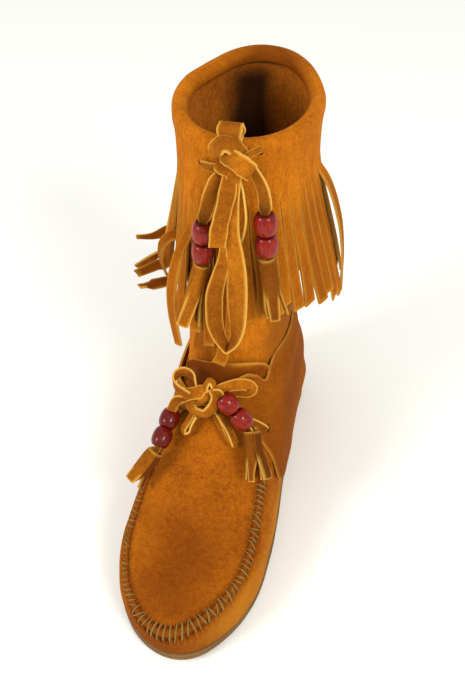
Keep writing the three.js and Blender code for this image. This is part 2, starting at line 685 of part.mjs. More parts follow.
// Cuff turned down over the leg: an uncut header with the strips under it, all in one piece.
function fringe() {
  const flareAt = curveThrough(FRINGE, 'turn', 'flare');
  const dropAt = curveThrough(FRINGE, 'turn', 'drop');
  const points = [];
  const triangles = [];
  const edges = 2 * STRIPS.count;
  const quad = (a, b, c, d) => triangles.push([a, b, c], [a, c, d]);
  const index = (edge, high, face) => 4 * (edge % edges) + 2 * high + face;
  for (let edge = 0; edge < edges; edge += 1) {
    for (const high of [0, 1]) {
      for (const face of [0, 1]) points.push(headerPoint(Math.floor(edge / 2), edge % 2, high, face));
    }
  }
  for (let edge = 0; edge < edges; edge += 1) {
    quad(index(edge, 0, 0), index(edge + 1, 0, 0), index(edge + 1, 1, 0), index(edge, 1, 0));
    quad(index(edge, 0, 1), index(edge, 1, 1), index(edge + 1, 1, 1), index(edge + 1, 0, 1));
    quad(index(edge, 1, 0), index(edge + 1, 1, 0), index(edge + 1, 1, 1), index(edge, 1, 1));
    if (edge % 2 === 1) {
      quad(index(edge, 0, 0), index(edge, 0, 1), index(edge + 1, 0, 1), index(edge + 1, 0, 0));
      continue;
    }
    let above = [index(edge, 0, 0), index(edge + 1, 0, 0), index(edge + 1, 0, 1), index(edge, 0, 1)];
    for (const corners of fringeStrip(edge / 2, flareAt, dropAt)) {
      const below = corners.map((corner) => points.push(corner) - 1);
      for (let k = 0; k < 4; k += 1) quad(above[k], below[k], below[(k + 1) % 4], above[(k + 1) % 4]);
      above = below;
    }
    quad(...above.reverse());
  }
  let cuff = toSolid(closedBody(points, triangles));
  for (const turn of [COLLAR_HOLES.outer, COLLAR_HOLES.inner]) {
    cuff = cuff.subtract(holeAt(COLLAR_HOLES.level, turn));
  }
  return named('fringe', toGeometry(cuff), SUEDE);
}

const FRONT = new THREE.Vector3(0, -1, 0);
const UP = new THREE.Vector3(0, 0, 1);

function vector(values) {
  return new THREE.Vector3(...values);
}

// Width of a thong along its length, drawn narrow at both ends where it leaves a knot or meets a bead.
function thongWidth(share, wide) {
  const open = Math.min(smoothstep(share, 0, NARROWING.loop), smoothstep(1 - share, 0, NARROWING.loop));
  return lerp(THONG.drawn, wide, open);
}

// Free thong along a hand-chosen route.
function thong(name, route, wide, tailOpen) {
  const line = new THREE.CatmullRomCurve3(route.map(vector), false, 'centripetal');
  const faces = new THREE.CatmullRomCurve3(route.map((row) => new THREE.Vector3(row[3], 0, 0)));
  const steps = Math.max(THONG.least, Math.round(line.getLength() / THONG.facet));
  const stations = Array.from({ length: steps + 1 }, (_, i) => {
    const share = i / steps;
    const turn = degToRad(faces.getPoint(line.getUtoTmapping(share)).x);
    const facing = FRONT.clone().applyAxisAngle(line.getTangentAt(share), turn);
    const width = tailOpen && share > 0.5 ? wide : thongWidth(share, wide);
    return { at: line.getPointAt(share), facing, width };
  });
  return named(name, strip(stations, THONG.thick), SUEDE_EDGE);
}

// Thong held against the boot, from one hole to the other.
function laceBar(name, rows) {
  const line = new THREE.CatmullRomCurve3(rows.map(({ level, turn, out }) => layer(level, turn, out)));
  const steps = 2 * (rows.length - 1);
  const stations = Array.from({ length: steps + 1 }, (_, i) => {
    const row = rows[Math.floor(i / 2)];
    const next = rows[Math.ceil(i / 2)];
    const facing = skinNormal((row.level + next.level) / 2, (row.turn + next.turn) / 2);
    return { at: line.getPoint(i / steps), facing, width: (row.width + next.width) / 2 };
  });
  return named(name, strip(stations, THONG.thick), SUEDE_EDGE);
}

// Wrapped knot: a rounded body with flat ends, and for the collar a curl of thong above it.
function knot(name, size, curled) {
  const profile = KNOT_SHAPE.map(({ share, rise }) => new THREE.Vector2(share, rise));
  const closed = [new THREE.Vector2(0, -1), ...profile, new THREE.Vector2(0, 1)];
  const body = new THREE.LatheGeometry(closed, FACETS.knot).rotateX(Math.PI / 2);
  body.scale(size.across, size.deep, size.up).translate(size.x, size.y, size.z);
  if (!curled) return named(name, toGeometry(toSolid(body)), SUEDE_EDGE);
  const top = size.z + size.up + KNOT_CURL.radius - KNOT_CURL.sink;
  const stations = Array.from({ length: KNOT_CURL.steps + 1 }, (_, i) => {
    const angle = degToRad(lerp(KNOT_CURL.from, KNOT_CURL.to, i / KNOT_CURL.steps));
    const out = new THREE.Vector3(Math.cos(angle), 0, Math.sin(angle));
    const at = new THREE.Vector3(size.x, size.y, top).addScaledVector(out, KNOT_CURL.radius);
    return { at, facing: out, width: KNOT_CURL.width };
  });
  return named(name, toGeometry(toSolid(body).add(toSolid(strip(stations, THONG.thick)))), SUEDE_EDGE);
}

// Barrel bead with a bore, its axis along a direction.
function bead(name, at, along) {
  const half = BEAD.length / 2;
  const belly = half * BEAD.belly;
  const shape = [[BEAD.bore, -half], [BEAD.end, -half], [BEAD.radius, -belly], [BEAD.radius, belly],
    [BEAD.end, half], [BEAD.bore, half], [BEAD.bore, -half]];
  const body = new THREE.LatheGeometry(shape.map(([r, rise]) => new THREE.Vector2(r, rise)), BEAD.sides);
  const mesh = named(name, toGeometry(toSolid(body.rotateX(Math.PI / 2))), WOOD, GLOSS);
  mesh.position.copy(at);
  mesh.quaternion.setFromUnitVectors(UP, along);
  return mesh;
}

// Rolled tassel: a cuff with strips that spread under it, hanging from its top.
function tassel(name, from, to) {
  const long = from.distanceTo(to);
  const cuff = new THREE.CylinderGeometry(TASSEL.cuff, TASSEL.cuff, TASSEL.cuffLong, TASSEL.sides);
  let body = toSolid(cuff.rotateX(Math.PI / 2).translate(0, 0, -TASSEL.cuffLong / 2));
  for (let i = 0; i < TASSEL_STRIPS.count; i += 1) {
    const angle = 2 * Math.PI * i / TASSEL_STRIPS.count;
    const facing = new THREE.Vector3(Math.cos(angle), Math.sin(angle), 0);
    const held = TASSEL.cuff - TASSEL_STRIPS.thick;
    const rows = [[held, TASSEL.root - TASSEL.cuffLong], [held, -TASSEL.cuffLong], [TASSEL.spread, -long]];
    const ragged = TASSEL_STRIPS.ragged * uneven(i, long);
    const stations = rows.map(([out, rise]) => ({
      at: facing.clone().multiplyScalar(out).setZ(out > held ? rise + ragged : rise),
      facing,
      width: TASSEL_STRIPS.width,
    }));
    body = body.add(toSolid(strip(stations, TASSEL_STRIPS.thick)));
  }
  const mesh = named(name, toGeometry(body), SUEDE);
  mesh.position.copy(from);
  mesh.quaternion.setFromUnitVectors(UP, from.clone().sub(to).normalize());
  return mesh;
}

// Two beads on a lace end with the tassel under them, and the thong drawn through their bores.
function beadedEnd({ name, upper: first, lower: second, end }, route) {
  const high = vector(first);
  const low = vector(second);
  const along = high.clone().sub(low).normalize();
  const hang = vector(end).sub(low).normalize();
  const lean = along.angleTo(hang.clone().negate());
  const spare = 2 * GAP + TASSEL.cuff * Math.sin(lean);
  const foot = low.clone().addScaledVector(along, -BEAD.length / 2 - spare);
  const entry = high.clone().addScaledVector(along, BEAD.length / 2 + BEAD.entry);
  const curve = new THREE.CatmullRomCurve3([...route.map(vector), entry], false, 'centripetal');
  const steps = 2 * route.length;
  const stations = Array.from({ length: steps + 1 }, (_, i) => {
    const share = i / steps;
    const open = Math.min(smoothstep(share, 0, NARROWING.root), smoothstep(1 - share, 0, NARROWING.bead));
    return { at: curve.getPointAt(share), facing: FRONT, width: lerp(THONG.drawn, THONG.width, open) };
  });
  stations.push({ at: foot, facing: FRONT, width: THONG.drawn });
  const group = new THREE.Group();
  group.add(named(`${name}_end`, strip(stations, THONG.thick), SUEDE_EDGE));
  group.add(bead(`${name}_bead_high`, high, along), bead(`${name}_bead_low`, low, along));
  group.add(tassel(`${name}_tassel`, foot.clone().addScaledVector(hang, 3 * GAP), vector(end)));
  return group;
}

const boot = new THREE.Group();
boot.add(outsole(), insole(), upper(), tongue(), quarter(), mocSeam(), shaft(), collar(), fringe());

const collarLace = new THREE.Group();
collarLace.add(laceBar('collar_lace_bar', COLLAR_BAR), knot('collar_knot', COLLAR_KNOT, true));
collarLace.add(thong('collar_loop_long', COLLAR_LOOP_LONG, THONG.wide, false));
collarLace.add(thong('collar_loop_short', COLLAR_LOOP_SHORT, THONG.slim, false));
collarLace.add(thong('collar_tail', COLLAR_TAIL, THONG.width, true));
collarLace.add(beadedEnd(BEAD_PAIRS[0], COLLAR_END_OUTER), beadedEnd(BEAD_PAIRS[1], COLLAR_END_INNER));

const ankleLace = new THREE.Group();
ankleLace.add(laceBar('ankle_lace_bar', ANKLE_BAR), knot('ankle_knot', ANKLE_KNOT, false));
ankleLace.add(thong('ankle_loop_up', ANKLE_LOOP_UP, THONG.width, false));
ankleLace.add(thong('ankle_loop_side', ANKLE_LOOP_SIDE, THONG.width, false));
ankleLace.add(thong('ankle_loop_low', ANKLE_LOOP_LOW, THONG.slim, false));
ankleLace.add(beadedEnd(BEAD_PAIRS[2], ANKLE_END_OUTER), beadedEnd(BEAD_PAIRS[3], ANKLE_END_INNER));

boot.add(collarLace, ankleLace);

export default boot;
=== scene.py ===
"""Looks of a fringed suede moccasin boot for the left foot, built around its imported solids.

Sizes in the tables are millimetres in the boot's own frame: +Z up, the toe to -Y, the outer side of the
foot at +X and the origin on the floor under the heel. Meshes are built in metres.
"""

import logging
import math
from dataclasses import dataclass, field, replace
from enum import Enum
from typing import Callable, Optional, Sequence

import bmesh
import bpy
import numpy as np
from mathutils import Matrix

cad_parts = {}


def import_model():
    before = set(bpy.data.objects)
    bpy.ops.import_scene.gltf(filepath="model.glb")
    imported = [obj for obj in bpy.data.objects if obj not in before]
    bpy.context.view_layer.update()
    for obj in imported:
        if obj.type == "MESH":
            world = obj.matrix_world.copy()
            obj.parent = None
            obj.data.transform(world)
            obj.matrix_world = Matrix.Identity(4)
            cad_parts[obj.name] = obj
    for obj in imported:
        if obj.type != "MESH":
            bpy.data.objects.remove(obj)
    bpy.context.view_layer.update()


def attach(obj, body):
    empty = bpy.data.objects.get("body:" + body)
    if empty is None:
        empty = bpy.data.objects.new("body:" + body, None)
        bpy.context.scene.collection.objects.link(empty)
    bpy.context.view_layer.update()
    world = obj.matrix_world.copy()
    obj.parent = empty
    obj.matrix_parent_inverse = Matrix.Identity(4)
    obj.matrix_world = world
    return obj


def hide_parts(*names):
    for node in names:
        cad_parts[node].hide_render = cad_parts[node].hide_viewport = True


LOG = logging.getLogger("boot")
MM = 0.001
TINY = 1e-9
LEVEL_STEP = 0.05
TURN_STEP = 0.25
CURVE_STEPS = 24
SCATTER = (12.9898, 78.233, 43758.5453)
BODY = "root"
SHARP_EDGE = math.radians(48)
# Names of the point marks: pale places, for cut edges and painted light, and darker places, for painted
# shade and darker nap.
EDGE_AND_LIGHT = "edge"
SHADE = "shade"
Curve = Callable[[np.ndarray], np.ndarray]
Pair = tuple[float, float]
Place = tuple[float, float, float]
Route = Sequence[Sequence[float]]
UP = (0.0, 0.0, 1.0)
TO_SIDE = (1.0, 0.0, 0.0)
TO_FRONT = (0.0, -1.0, 0.0)
TO_VIEWER = (0.25, -0.81, 0.53)

# Settings and sockets of a mix of colours: its factor, its two colours and its result.
MIX = {"data_type": "RGBA"}
FACTOR, FIRST, SECOND, MIXED = 0, 6, 7, 2


class Kind(Enum):
    """Which finish of a piece a face takes: its face side, its cut edge or its flesh side."""

    FACE = 0
    CUT = 1
    BACK = 2


class FarEnd(Enum):
    """What a thong ends in: the knot it came from, its own cut, or beads and a tassel."""

    KNOT = "object"
    CUT = "bare"
    TASSEL = "fitting"


def linear(colour: str) -> tuple[float, float, float, float]:
    """Turn an sRGB hex colour into linear values.

    Args:
        colour: six hex digits with a leading hash.

    Returns:
        Red, green, blue and alpha, each from 0 to 1.
    """
    parts = [int(colour[i:i + 2], 16) / 255 for i in (1, 3, 5)]
    lit = [p / 12.92 if p <= 0.04045 else ((p + 0.055) / 1.055) ** 2.4 for p in parts]
    return (lit[0], lit[1], lit[2], 1.0)


def add_node(tree: bpy.types.NodeTree, kind: str, settings: Optional[dict] = None,
             inputs: Optional[dict] = None) -> bpy.types.Node:
    """Add a shader node, set it up and link its inputs.

    Args:
        tree: node tree that takes the node.
        kind: Blender's name of the node type.
        settings: attributes of the node.
        inputs: socket names or numbers with a value, or with the socket that feeds them.

    Returns:
        The new node.
    """
    node = tree.nodes.new(kind)
    for name, value in (settings or {}).items():
        setattr(node, name, value)
    for name, value in (inputs or {}).items():
        if isinstance(value, bpy.types.NodeSocket):
            tree.links.new(value, node.inputs[name])
        else:
            node.inputs[name].default_value = value
    return node


def put(name: str, data: bpy.types.ID) -> bpy.types.Object:
    """Make an object in the scene from its data."""
    made = bpy.data.objects.new(name, data)
    bpy.context.scene.collection.objects.link(made)
    return made


def stand(made: bpy.types.Object, *columns: np.ndarray) -> None:
    """Place an object by the directions of its three axes and its origin."""
    turn = np.eye(4)
    turn[:3] = np.column_stack(columns)
    made.matrix_world = Matrix(turn.tolist())


def smooth(low: float, high: float, value: np.ndarray) -> np.ndarray:
    """Rise smoothly from 0 at low to 1 at high."""
    share = np.clip((np.asarray(value, float) - low) / (high - low), 0, 1)
    return share * share * (3 - 2 * share)


def bell(middle: float, width: float, value: np.ndarray) -> np.ndarray:
    """Rise to 1 at the middle and fall away over a width on both sides."""
    return np.exp(-((value - middle) / width) ** 2)


def signed(turn: np.ndarray) -> np.ndarray:
    """Bring turns between -180 and 180 degrees."""
    return (turn + 180) % 360 - 180


def unit(vectors: np.ndarray) -> np.ndarray:
    """Scale vectors to length 1."""
    return vectors / np.maximum(np.linalg.norm(vectors, axis=-1, keepdims=True), TINY)


def run_along(line: np.ndarray) -> np.ndarray:
    """Length of a line of points up to each of them."""
    return np.concatenate([[0], np.cumsum(np.linalg.norm(np.diff(line, axis=0), axis=1))])


def spline(points: np.ndarray, count: int) -> np.ndarray:
    """Run a smooth curve through points and space it evenly.

    Args:
        points: rows to pass through, with any number of columns, the first three a place.
        count: how many rows to give back.

    Returns:
        Rows along the curve, an equal length apart.
    """
    rows = np.asarray(points, float)
    ends = np.vstack([2 * rows[0] - rows[1], rows, 2 * rows[-1] - rows[-2]])
    fine = []
    steps = np.linspace(0, 1, CURVE_STEPS, endpoint=False)[:, None]
    for a, b, c, d in zip(ends, ends[1:], ends[2:], ends[3:]):
        bent = 2 * a - 5 * b + 4 * c - d + steps * (3 * (b - c) + d - a)
        fine.append(b + 0.5 * steps * (c - a + steps * bent))
    line = np.vstack([*fine, rows[-1:]])
    run = run_along(line[:, :3])
    at = np.linspace(0, run[-1], count)
    return np.stack([np.interp(at, run, column) for column in line.T], axis=1)


class Table:
    """Rows of sizes with named columns, read along the first column by smooth curves."""

    def __init__(self, columns: str, *rows: Sequence[float]) -> None:
        """Keep the rows under their column names."""
        self.columns = columns.split()
        self.values = np.array(rows, float)

    def curve(self, column: str) -> Curve:
        """Make a curve through one column that doesn't overshoot between the rows.

        Args:
            column: name of the column to read.

        Returns:
            A function from places on the first column to values.
        """
        x = self.values[:, 0]
        v = self.values[:, self.columns.index(column)]
        width = np.diff(x)
        rise = np.diff(v) / width
        before = 2 * width[1:] + width[:-1]
        after = width[1:] + 2 * width[:-1]
        turned = rise[:-1] * rise[1:] <= 0
        left = np.where(turned, 1, rise[:-1])
        right = np.where(turned, 1, rise[1:])
        inner = np.where(turned, 0, (before + after) / (before / left + after / right))
        slope = np.concatenate([rise[:1], inner, rise[-1:]])

        def at(place: np.ndarray) -> np.ndarray:
            """Read the curve, held at its ends."""
            p = np.clip(place, x[0], x[-1])
            i = np.clip(np.searchsorted(x, p, side="right") - 1, 0, len(width) - 1)
            t = (p - x[i]) / width[i]
            near = (1 + 2 * t) * (1 - t) ** 2 * v[i] + t * (1 - t) ** 2 * width[i] * slope[i]
            far = t * t * (3 - 2 * t) * v[i + 1] - t * t * (1 - t) * width[i] * slope[i + 1]
            return near + far

        return at


# Foot outline seen from above, and the outsole seen from the side.
PLAN = Table(
    "y axis half",
    (-219, -0.5, 45), (-205, -2.8, 45), (-185, -4.2, 46.2), (-150, -5.2, 47.3), (-135, -5.2, 47.3),
    (-110, -4.2, 44.8), (-80, -2.2, 39.5), (-50, -0.6, 35), (-20, 0, 33), (10, 0.5, 32.5), (60, 0, 32),
)
SOLE_LINE = Table(
    "y top bottom",
    (-222, 11.4, 4.4), (-205, 9.6, 2.6), (-185, 8, 0.8), (-165, 7.2, 0), (-102, 7.2, 0), (-85, 7.8, 1.6),
    (-60, 8.6, 2.6), (-28, 9.5, 0), (0, 10, 0), (40, 10, 0),
)

# Outline of foot and leg at levels above the sole.
LEVELS = Table(
    "level front back half middle",
    (0, -213, 31, 33, 0), (5, -216, 33.5, 34, 0), (12, -217, 34.5, 35, 0), (18, -215, 35, 35, 0),
    (23, -209, 35, 35, 0), (28, -196, 35, 35, 0), (34, -175, 34.6, 34.6, -1.5), (42, -149, 33.8, 34, -2.5),
    (52, -125, 32.6, 33.3, -3.5), (64, -105, 31, 33, -4.2), (76, -92, 30, 34, -4),
    (88, -83.5, 29.5, 34, -4), (100, -78.5, 30, 34.5, -3.5), (120, -74, 32, 35.5, -2.5),
    (150, -70, 37, 37.5, -1), (190, -66, 45, 39.5, 1), (225, -63, 51.2, 39.4, 2), (262, -61, 55.8, 38.8, 2),
)

# How far the soft rim is drawn in towards the back of the leg, as a share of its width.
DRAWN_RIM = Table(
    "turn share",
    (-180, 0), (-110, 0), (-90, 0.02), (-72, 0.11), (-56, 0.16), (-30, 0.17), (0, 0.16), (30, 0.15),
    (45, 0.12), (58, 0.085), (70, 0.045), (85, 0), (180, 0),
)


@dataclass
class BootForm:
    """Outer skin of foot and leg, by level above the sole and turn in degrees from the heel."""

    gap: float = 0.3
    toe_centre: float = -150.0
    heel_power: float = 2.3
    dome_rise: float = 3.2
    dome_side: float = 2.2
    leg_power: float = 2.15
    tuck_share: float = 0.045
    tuck_height: float = 9.0
    nose_level: float = 12.0
    foot_to_leg: Pair = (40.0, 92.0)
    sole_fade: Pair = (20.0, 75.0)
    sole_base: float = 9.3
    heel_lean: float = 0.07
    heel_run: Pair = (-40.0, 10.0)
    heel_rise: Pair = (4.0, 34.0)
    rim_slope: float = -0.055
    rim_y: float = 22.4
    rim_side: float = -0.085
    rim_x: float = 2.0
    rim_fade: Pair = (110.0, 255.0)
    drawn_rise: Pair = (150.0, 240.0)
    crest_steps: int = 4000

    def __post_init__(self) -> None:
        """Read the curves once."""
        self.axis = PLAN.curve("axis")
        self.half = PLAN.curve("half")
        self.sole_top = SOLE_LINE.curve("top")
        self.sole_bottom = SOLE_LINE.curve("bottom")
        self.front = LEVELS.curve("front")
        self.back = LEVELS.curve("back")
        self.leg_half = LEVELS.curve("half")
        self.leg_middle = LEVELS.curve("middle")
        self.drawn = DRAWN_RIM.curve("share")
        self.crest_levels = np.linspace(self.nose_level, LEVELS.values[-1, 0], self.crest_steps)
        self.crest_fronts = self.front(self.crest_levels)

    def toe_round(self, y: np.ndarray, front: np.ndarray) -> np.ndarray:
        """Share of the width that is left where the toe is rounded."""
        share = np.clip((self.toe_centre - y) / (self.toe_centre - front), 0, 1)
        return np.sqrt(1 - share ** 2)

    def heel_round(self, y: np.ndarray, back: np.ndarray) -> np.ndarray:
        """Share of the width that is left where the heel is rounded."""
        return np.sqrt(1 - np.clip(y / back, 0, 1) ** self.heel_power)

    def skin(self, level: np.ndarray, turn: np.ndarray) -> np.ndarray:
        """Find points on the outer skin.

        Args:
            level: height above the sole along the skin.
            turn: degrees round the boot from the heel, 90 at the outer side.

        Returns:
            Points in millimetres.
        """
        level, turn = np.broadcast_arrays(np.asarray(level, float), np.asarray(turn, float))
        angle = np.radians(turn)
        front = self.front(level)
        back = self.back(level)
        y = (front + back) / 2 + (back - front) / 2 * np.cos(angle)
        crest = np.interp(y, self.crest_fronts, self.crest_levels)
        dome = (1 - np.clip(level / crest, 0, 1) ** self.dome_rise) ** (1 / self.dome_side)
        tuck = 1 - self.tuck_share * np.clip(1 - level / self.tuck_height, 0, 1) ** 2
        toe = self.toe_round(y, self.front(np.minimum(level, self.nose_level)))
        lean = smooth(*self.heel_run, y) * smooth(*self.heel_rise, level)
        heel = self.heel_round(y, back) * (1 - self.heel_lean * lean)
        foot = self.half(y) * dome * tuck * toe * heel
        oval = (1 - np.abs(np.cos(angle)) ** self.leg_power) ** (1 / self.leg_power)
        oval = oval * (1 - self.drawn(signed(turn)) * smooth(*self.drawn_rise, level))
        share = smooth(*self.foot_to_leg, level)
        half = foot + share * (self.leg_half(level) * oval - foot)
        side = np.where(np.abs(np.sin(angle)) < TINY, 0, np.sign(np.sin(angle)))
        axis = self.axis(y)
        x = axis + share * (self.leg_middle(level) - axis) + side * half
        base = self.sole_top(y) + self.gap
        base = base + smooth(*self.sole_fade, level) * (self.sole_base - base)
        tilt = self.rim_slope * (y - self.rim_y) + self.rim_side * (x - self.rim_x)
        return np.stack([x, y, level + base + tilt * smooth(*self.rim_fade, level)], axis=-1)

    def normal(self, level: np.ndarray, turn: np.ndarray) -> np.ndarray:
        """Direction out of the skin."""
        level, turn = np.broadcast_arrays(np.asarray(level, float), np.asarray(turn, float))
        up = self.skin(level + LEVEL_STEP, turn) - self.skin(np.maximum(level - LEVEL_STEP, 0), turn)
        round_ = self.skin(level, turn + TURN_STEP) - self.skin(level, turn - TURN_STEP)
        return unit(np.cross(up, round_))

    def layer(self, level: np.ndarray, turn: np.ndarray, out: np.ndarray) -> np.ndarray:
        """Points a distance outside the skin, or inside it where that is negative."""
        level, turn, out = np.broadcast_arrays(*(np.asarray(v, float) for v in (level, turn, out)))
        return self.skin(level, turn) + out[..., None] * self.normal(level, turn)


FORM = BootForm()


@dataclass(frozen=True)
class Crease:
    """Soft trough or ridge over the skin, along a line of levels and turns."""

    line: tuple[Pair, ...]
    width: float
    depth: float
    steps: int = 24
    fade: float = 0.12

    def at(self, points: np.ndarray) -> np.ndarray:
        """Find how far the crease moves each point outwards.

        Args:
            points: places on the boot in millimetres.

        Returns:
            Distances, negative in a trough.
        """
        path = spline(FORM.skin(*np.array(self.line, float).T), self.steps)
        taper = np.sin(np.linspace(self.fade, math.pi - self.fade, self.steps))
        apart = np.linalg.norm(points[..., None, :] - path, axis=-1)
        return self.depth * taper[apart.argmin(axis=-1)] * bell(0, self.width, apart.min(axis=-1))


def creased(points: np.ndarray, creases: Sequence[Crease]) -> np.ndarray:
    """Add up what all the creases do at each point."""
    return sum(crease.at(points) for crease in creases)


def punch(faces: Sequence[np.ndarray], middle: np.ndarray, radius: float, wrapped: bool) -> np.ndarray:
    """Draw the points round a hole onto its circle.

    Args:
        faces: points of the outer and the inner face, in the same grid, which are moved.
        middle: middle of the hole.
        radius: radius of the hole.
        wrapped: whether the last column joins the first.

    Returns:
        The cells that the hole takes out.
    """
    apart = faces[0] - middle
    away = np.linalg.norm(apart, axis=-1)
    inside = away < radius
    after = np.roll(inside, -1, axis=1) if wrapped else inside[:, 1:]
    before = inside if wrapped else inside[:, :-1]
    cells = before[:-1] | before[1:] | after[:-1] | after[1:]
    rim = np.zeros(away.shape, bool)
    for down in (0, 1):
        for aside in (0, 1):
            part = np.roll(cells, aside, axis=1) if wrapped else cells
            columns = slice(None) if wrapped else slice(aside, aside + cells.shape[1])
            rim[down:down + cells.shape[0], columns] |= part
    rim &= ~inside
    move = apart[rim] * (radius / away[rim] - 1)[:, None]
    for face in faces:
        face[rim] += move
    return cells


def uneven(number: np.ndarray, kind: float) -> np.ndarray:
    """Small repeatable unevenness between -1 and 1 for a numbered thing."""
    wave = np.sin(np.asarray(number, float) * SCATTER[0] + kind * SCATTER[1]) * SCATTER[2]
    return 2 * (wave - np.floor(wave)) - 1


def closed(numbers: np.ndarray) -> np.ndarray:
    """Repeat the first column of a grid after its last."""
    return np.concatenate([numbers, numbers[:, :1]], axis=1)


def cells_of(numbers: np.ndarray) -> np.ndarray:
    """Corner numbers of each cell of a grid of points."""
    n = numbers
    return np.stack([n[:-1, :-1], n[:-1, 1:], n[1:, 1:], n[1:, :-1]], axis=-1)


class Shape:
    """Mesh of one piece while it is being made, with marks for pale places (cut edges and painted light)
    and darker places (painted shade and darker nap).
    """

    def __init__(self) -> None:
        """Start empty."""
        self.points: list[np.ndarray] = []
        self.marks: dict[str, list[np.ndarray]] = {EDGE_AND_LIGHT: [], SHADE: []}
        self.faces: list[list[int]] = []
        self.kinds: list[int] = []
        self.count = 0

    def add(self, points: np.ndarray, edge: np.ndarray | float = 0.0,
            shade: np.ndarray | float = 0.0) -> np.ndarray:
        """Add points with their marks.

        Args:
            points: places in millimetres, in any grid.
            edge: how pale each place is, 0 to 1: a cut or worn edge, and painted light on a lit wall.
            shade: how much darker each place is, 0 to 1: painted shade in hollows, under and inside parts,
                and darker brushed nap.

        Returns:
            The points' numbers, in the same grid.
        """
        grid = points.shape[:-1]
        flat = points.reshape(-1, 3)
        self.points.append(flat)
        for name, value in ((EDGE_AND_LIGHT, edge), (SHADE, shade)):
            self.marks[name].append(np.broadcast_to(value, grid).reshape(-1).astype(float))
        numbers = np.arange(self.count, self.count + len(flat)).reshape(grid)
        self.count += len(flat)
        return numbers

    def fill(self, corners: np.ndarray, kind: Kind = Kind.FACE) -> None:
        """Add faces by their corner numbers, one row each."""
        rows = np.asarray(corners).reshape(-1, np.shape(corners)[-1])
        self.faces.extend(rows.tolist())
        self.kinds.extend([kind.value] * len(rows))

    def grid(self, numbers: np.ndarray, wrapped: bool = False, kind: Kind = Kind.FACE) -> None:
        """Fill a grid of points with four-sided faces.

        Args:
            numbers: point numbers in rows and columns.
            wrapped: whether the last column joins the first.
            kind: finish of the faces.
        """
        self.fill(cells_of(closed(numbers) if wrapped else numbers), kind)

    def bridge(self, first: np.ndarray, second: np.ndarray, wrapped: bool = False,
               kind: Kind = Kind.CUT) -> None:
        """Join two rows of points with a band of faces."""
        self.grid(np.stack([first, second]), wrapped, kind)

    def wall(self, outer: np.ndarray, inner: np.ndarray, wrapped: bool = False,
             removed: Optional[np.ndarray] = None, open_end: bool = False) -> None:
        """Make a closed wall of two grids of points, with holes where cells are removed.

        Args:
            outer: numbers of the outer points.
            inner: numbers of the inner points, in the same grid.
            wrapped: whether the last column joins the first.
            removed: cells that are left out.
            open_end: whether the last row is left open.
        """
        if wrapped:
            outer, inner = closed(outer), closed(inner)
        cells = cells_of(outer), cells_of(inner)
        kept = np.ones(cells[0].shape[:-1], bool) if removed is None else ~removed
        self.fill(cells[0][kept])
        self.fill(cells[1][kept], Kind.BACK)
        around = np.pad(kept, 1)
        row_open = around[:-1, 1:-1] ^ around[1:, 1:-1]
        column_open = around[1:-1, :-1] ^ around[1:-1, 1:]
        if wrapped:
            column_open[:, 0] ^= column_open[:, -1]
            column_open[:, -1] = False
        if open_end:
            row_open[-1] = False
        for edges, down, aside in ((row_open, 0, 1), (column_open, 1, 0)):
            i, j = np.nonzero(edges)
            k, m = i + down, j + aside
            self.fill(np.stack([outer[i, j], outer[k, m], inner[k, m], inner[i, j]], axis=-1), Kind.CUT)

    def piece(self, name: str, finishes: Sequence[bpy.types.Material],
              nodes: Sequence[str] = ()) -> bpy.types.Object:
        """Turn the mesh into a piece of the boot.

        Args:
            name: name of the piece.
            finishes: materials for the kinds of face, in the order of Kind.
            nodes: solids that the piece stands for.

        Returns:
            The new object.
        """
        mesh = bpy.data.meshes.new(name)
        mesh.from_pydata((np.vstack(self.points) * MM).tolist(), [], self.faces)
        for mark, values in self.marks.items():
            layer = mesh.attributes.new(mark, "FLOAT", "POINT")
            layer.data.foreach_set("value", np.concatenate(values).astype(np.float32))
        for finish in finishes:
            mesh.materials.append(finish)
        kinds = np.minimum(np.array(self.kinds), len(finishes) - 1)
        mesh.polygons.foreach_set("material_index", kinds.astype(np.int32))
        work = bmesh.new()
        work.from_mesh(mesh)
        loose = [point for point in work.verts if not point.link_faces]
        bmesh.ops.delete(work, geom=loose, context="VERTS")
        bmesh.ops.recalc_face_normals(work, faces=work.faces)
        work.to_mesh(mesh)
        work.free()
        mesh.polygons.foreach_set("use_smooth", np.ones(len(mesh.polygons), bool))
        mesh.set_sharp_from_angle(angle=SHARP_EDGE)
        made = put(name, mesh)
        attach(made, BODY)
        if nodes:
            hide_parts(*nodes)
        LOG.info("%s: %d faces", name, len(mesh.polygons))
        return made


@dataclass(frozen=True)
class Grain:
    """Noise in a material: size of its blotches, its fineness, and how far it moves the colour."""

    size_mm: float
    detail: float
    roughness: float = 0.5
    part: float = 0.0
    middle: float = 0.0

    def inputs(self, place: bpy.types.NodeSocket) -> dict:
        """Inputs of a noise node that is laid over a place."""
        return {"Vector": place, "Scale": 1 / (self.size_mm * MM), "Detail": self.detail,
                "Roughness": self.roughness}


@dataclass(frozen=True)
class Finish:
    """Finish of a real material: its name, its lighter colour and its darker one."""

    name: str
    light: str
    dark: str

    def surface(self, tree: bpy.types.NodeTree, place: bpy.types.NodeSocket) -> bpy.types.Node:
        """Make the surface shader.

        Args:
            tree: node tree of the material.
            place: place on the boot.

        Returns:
            The shader node.
        """
        raise NotImplementedError

    def material(self) -> bpy.types.Material:
        """Make the material around its surface shader."""
        made = bpy.data.materials.new(self.name)
        made.use_nodes = True
        tree = made.node_tree
        tree.nodes.clear()
        shader = self.surface(tree, add_node(tree, "ShaderNodeTexCoord").outputs["Object"])
        add_node(tree, "ShaderNodeOutputMaterial", inputs={"Surface": shader.outputs["BSDF"]})
        made.diffuse_color = linear(self.light)
        return made


PATCHES = Grain(32.0, 4.0, 0.55, 0.3, 0.5)


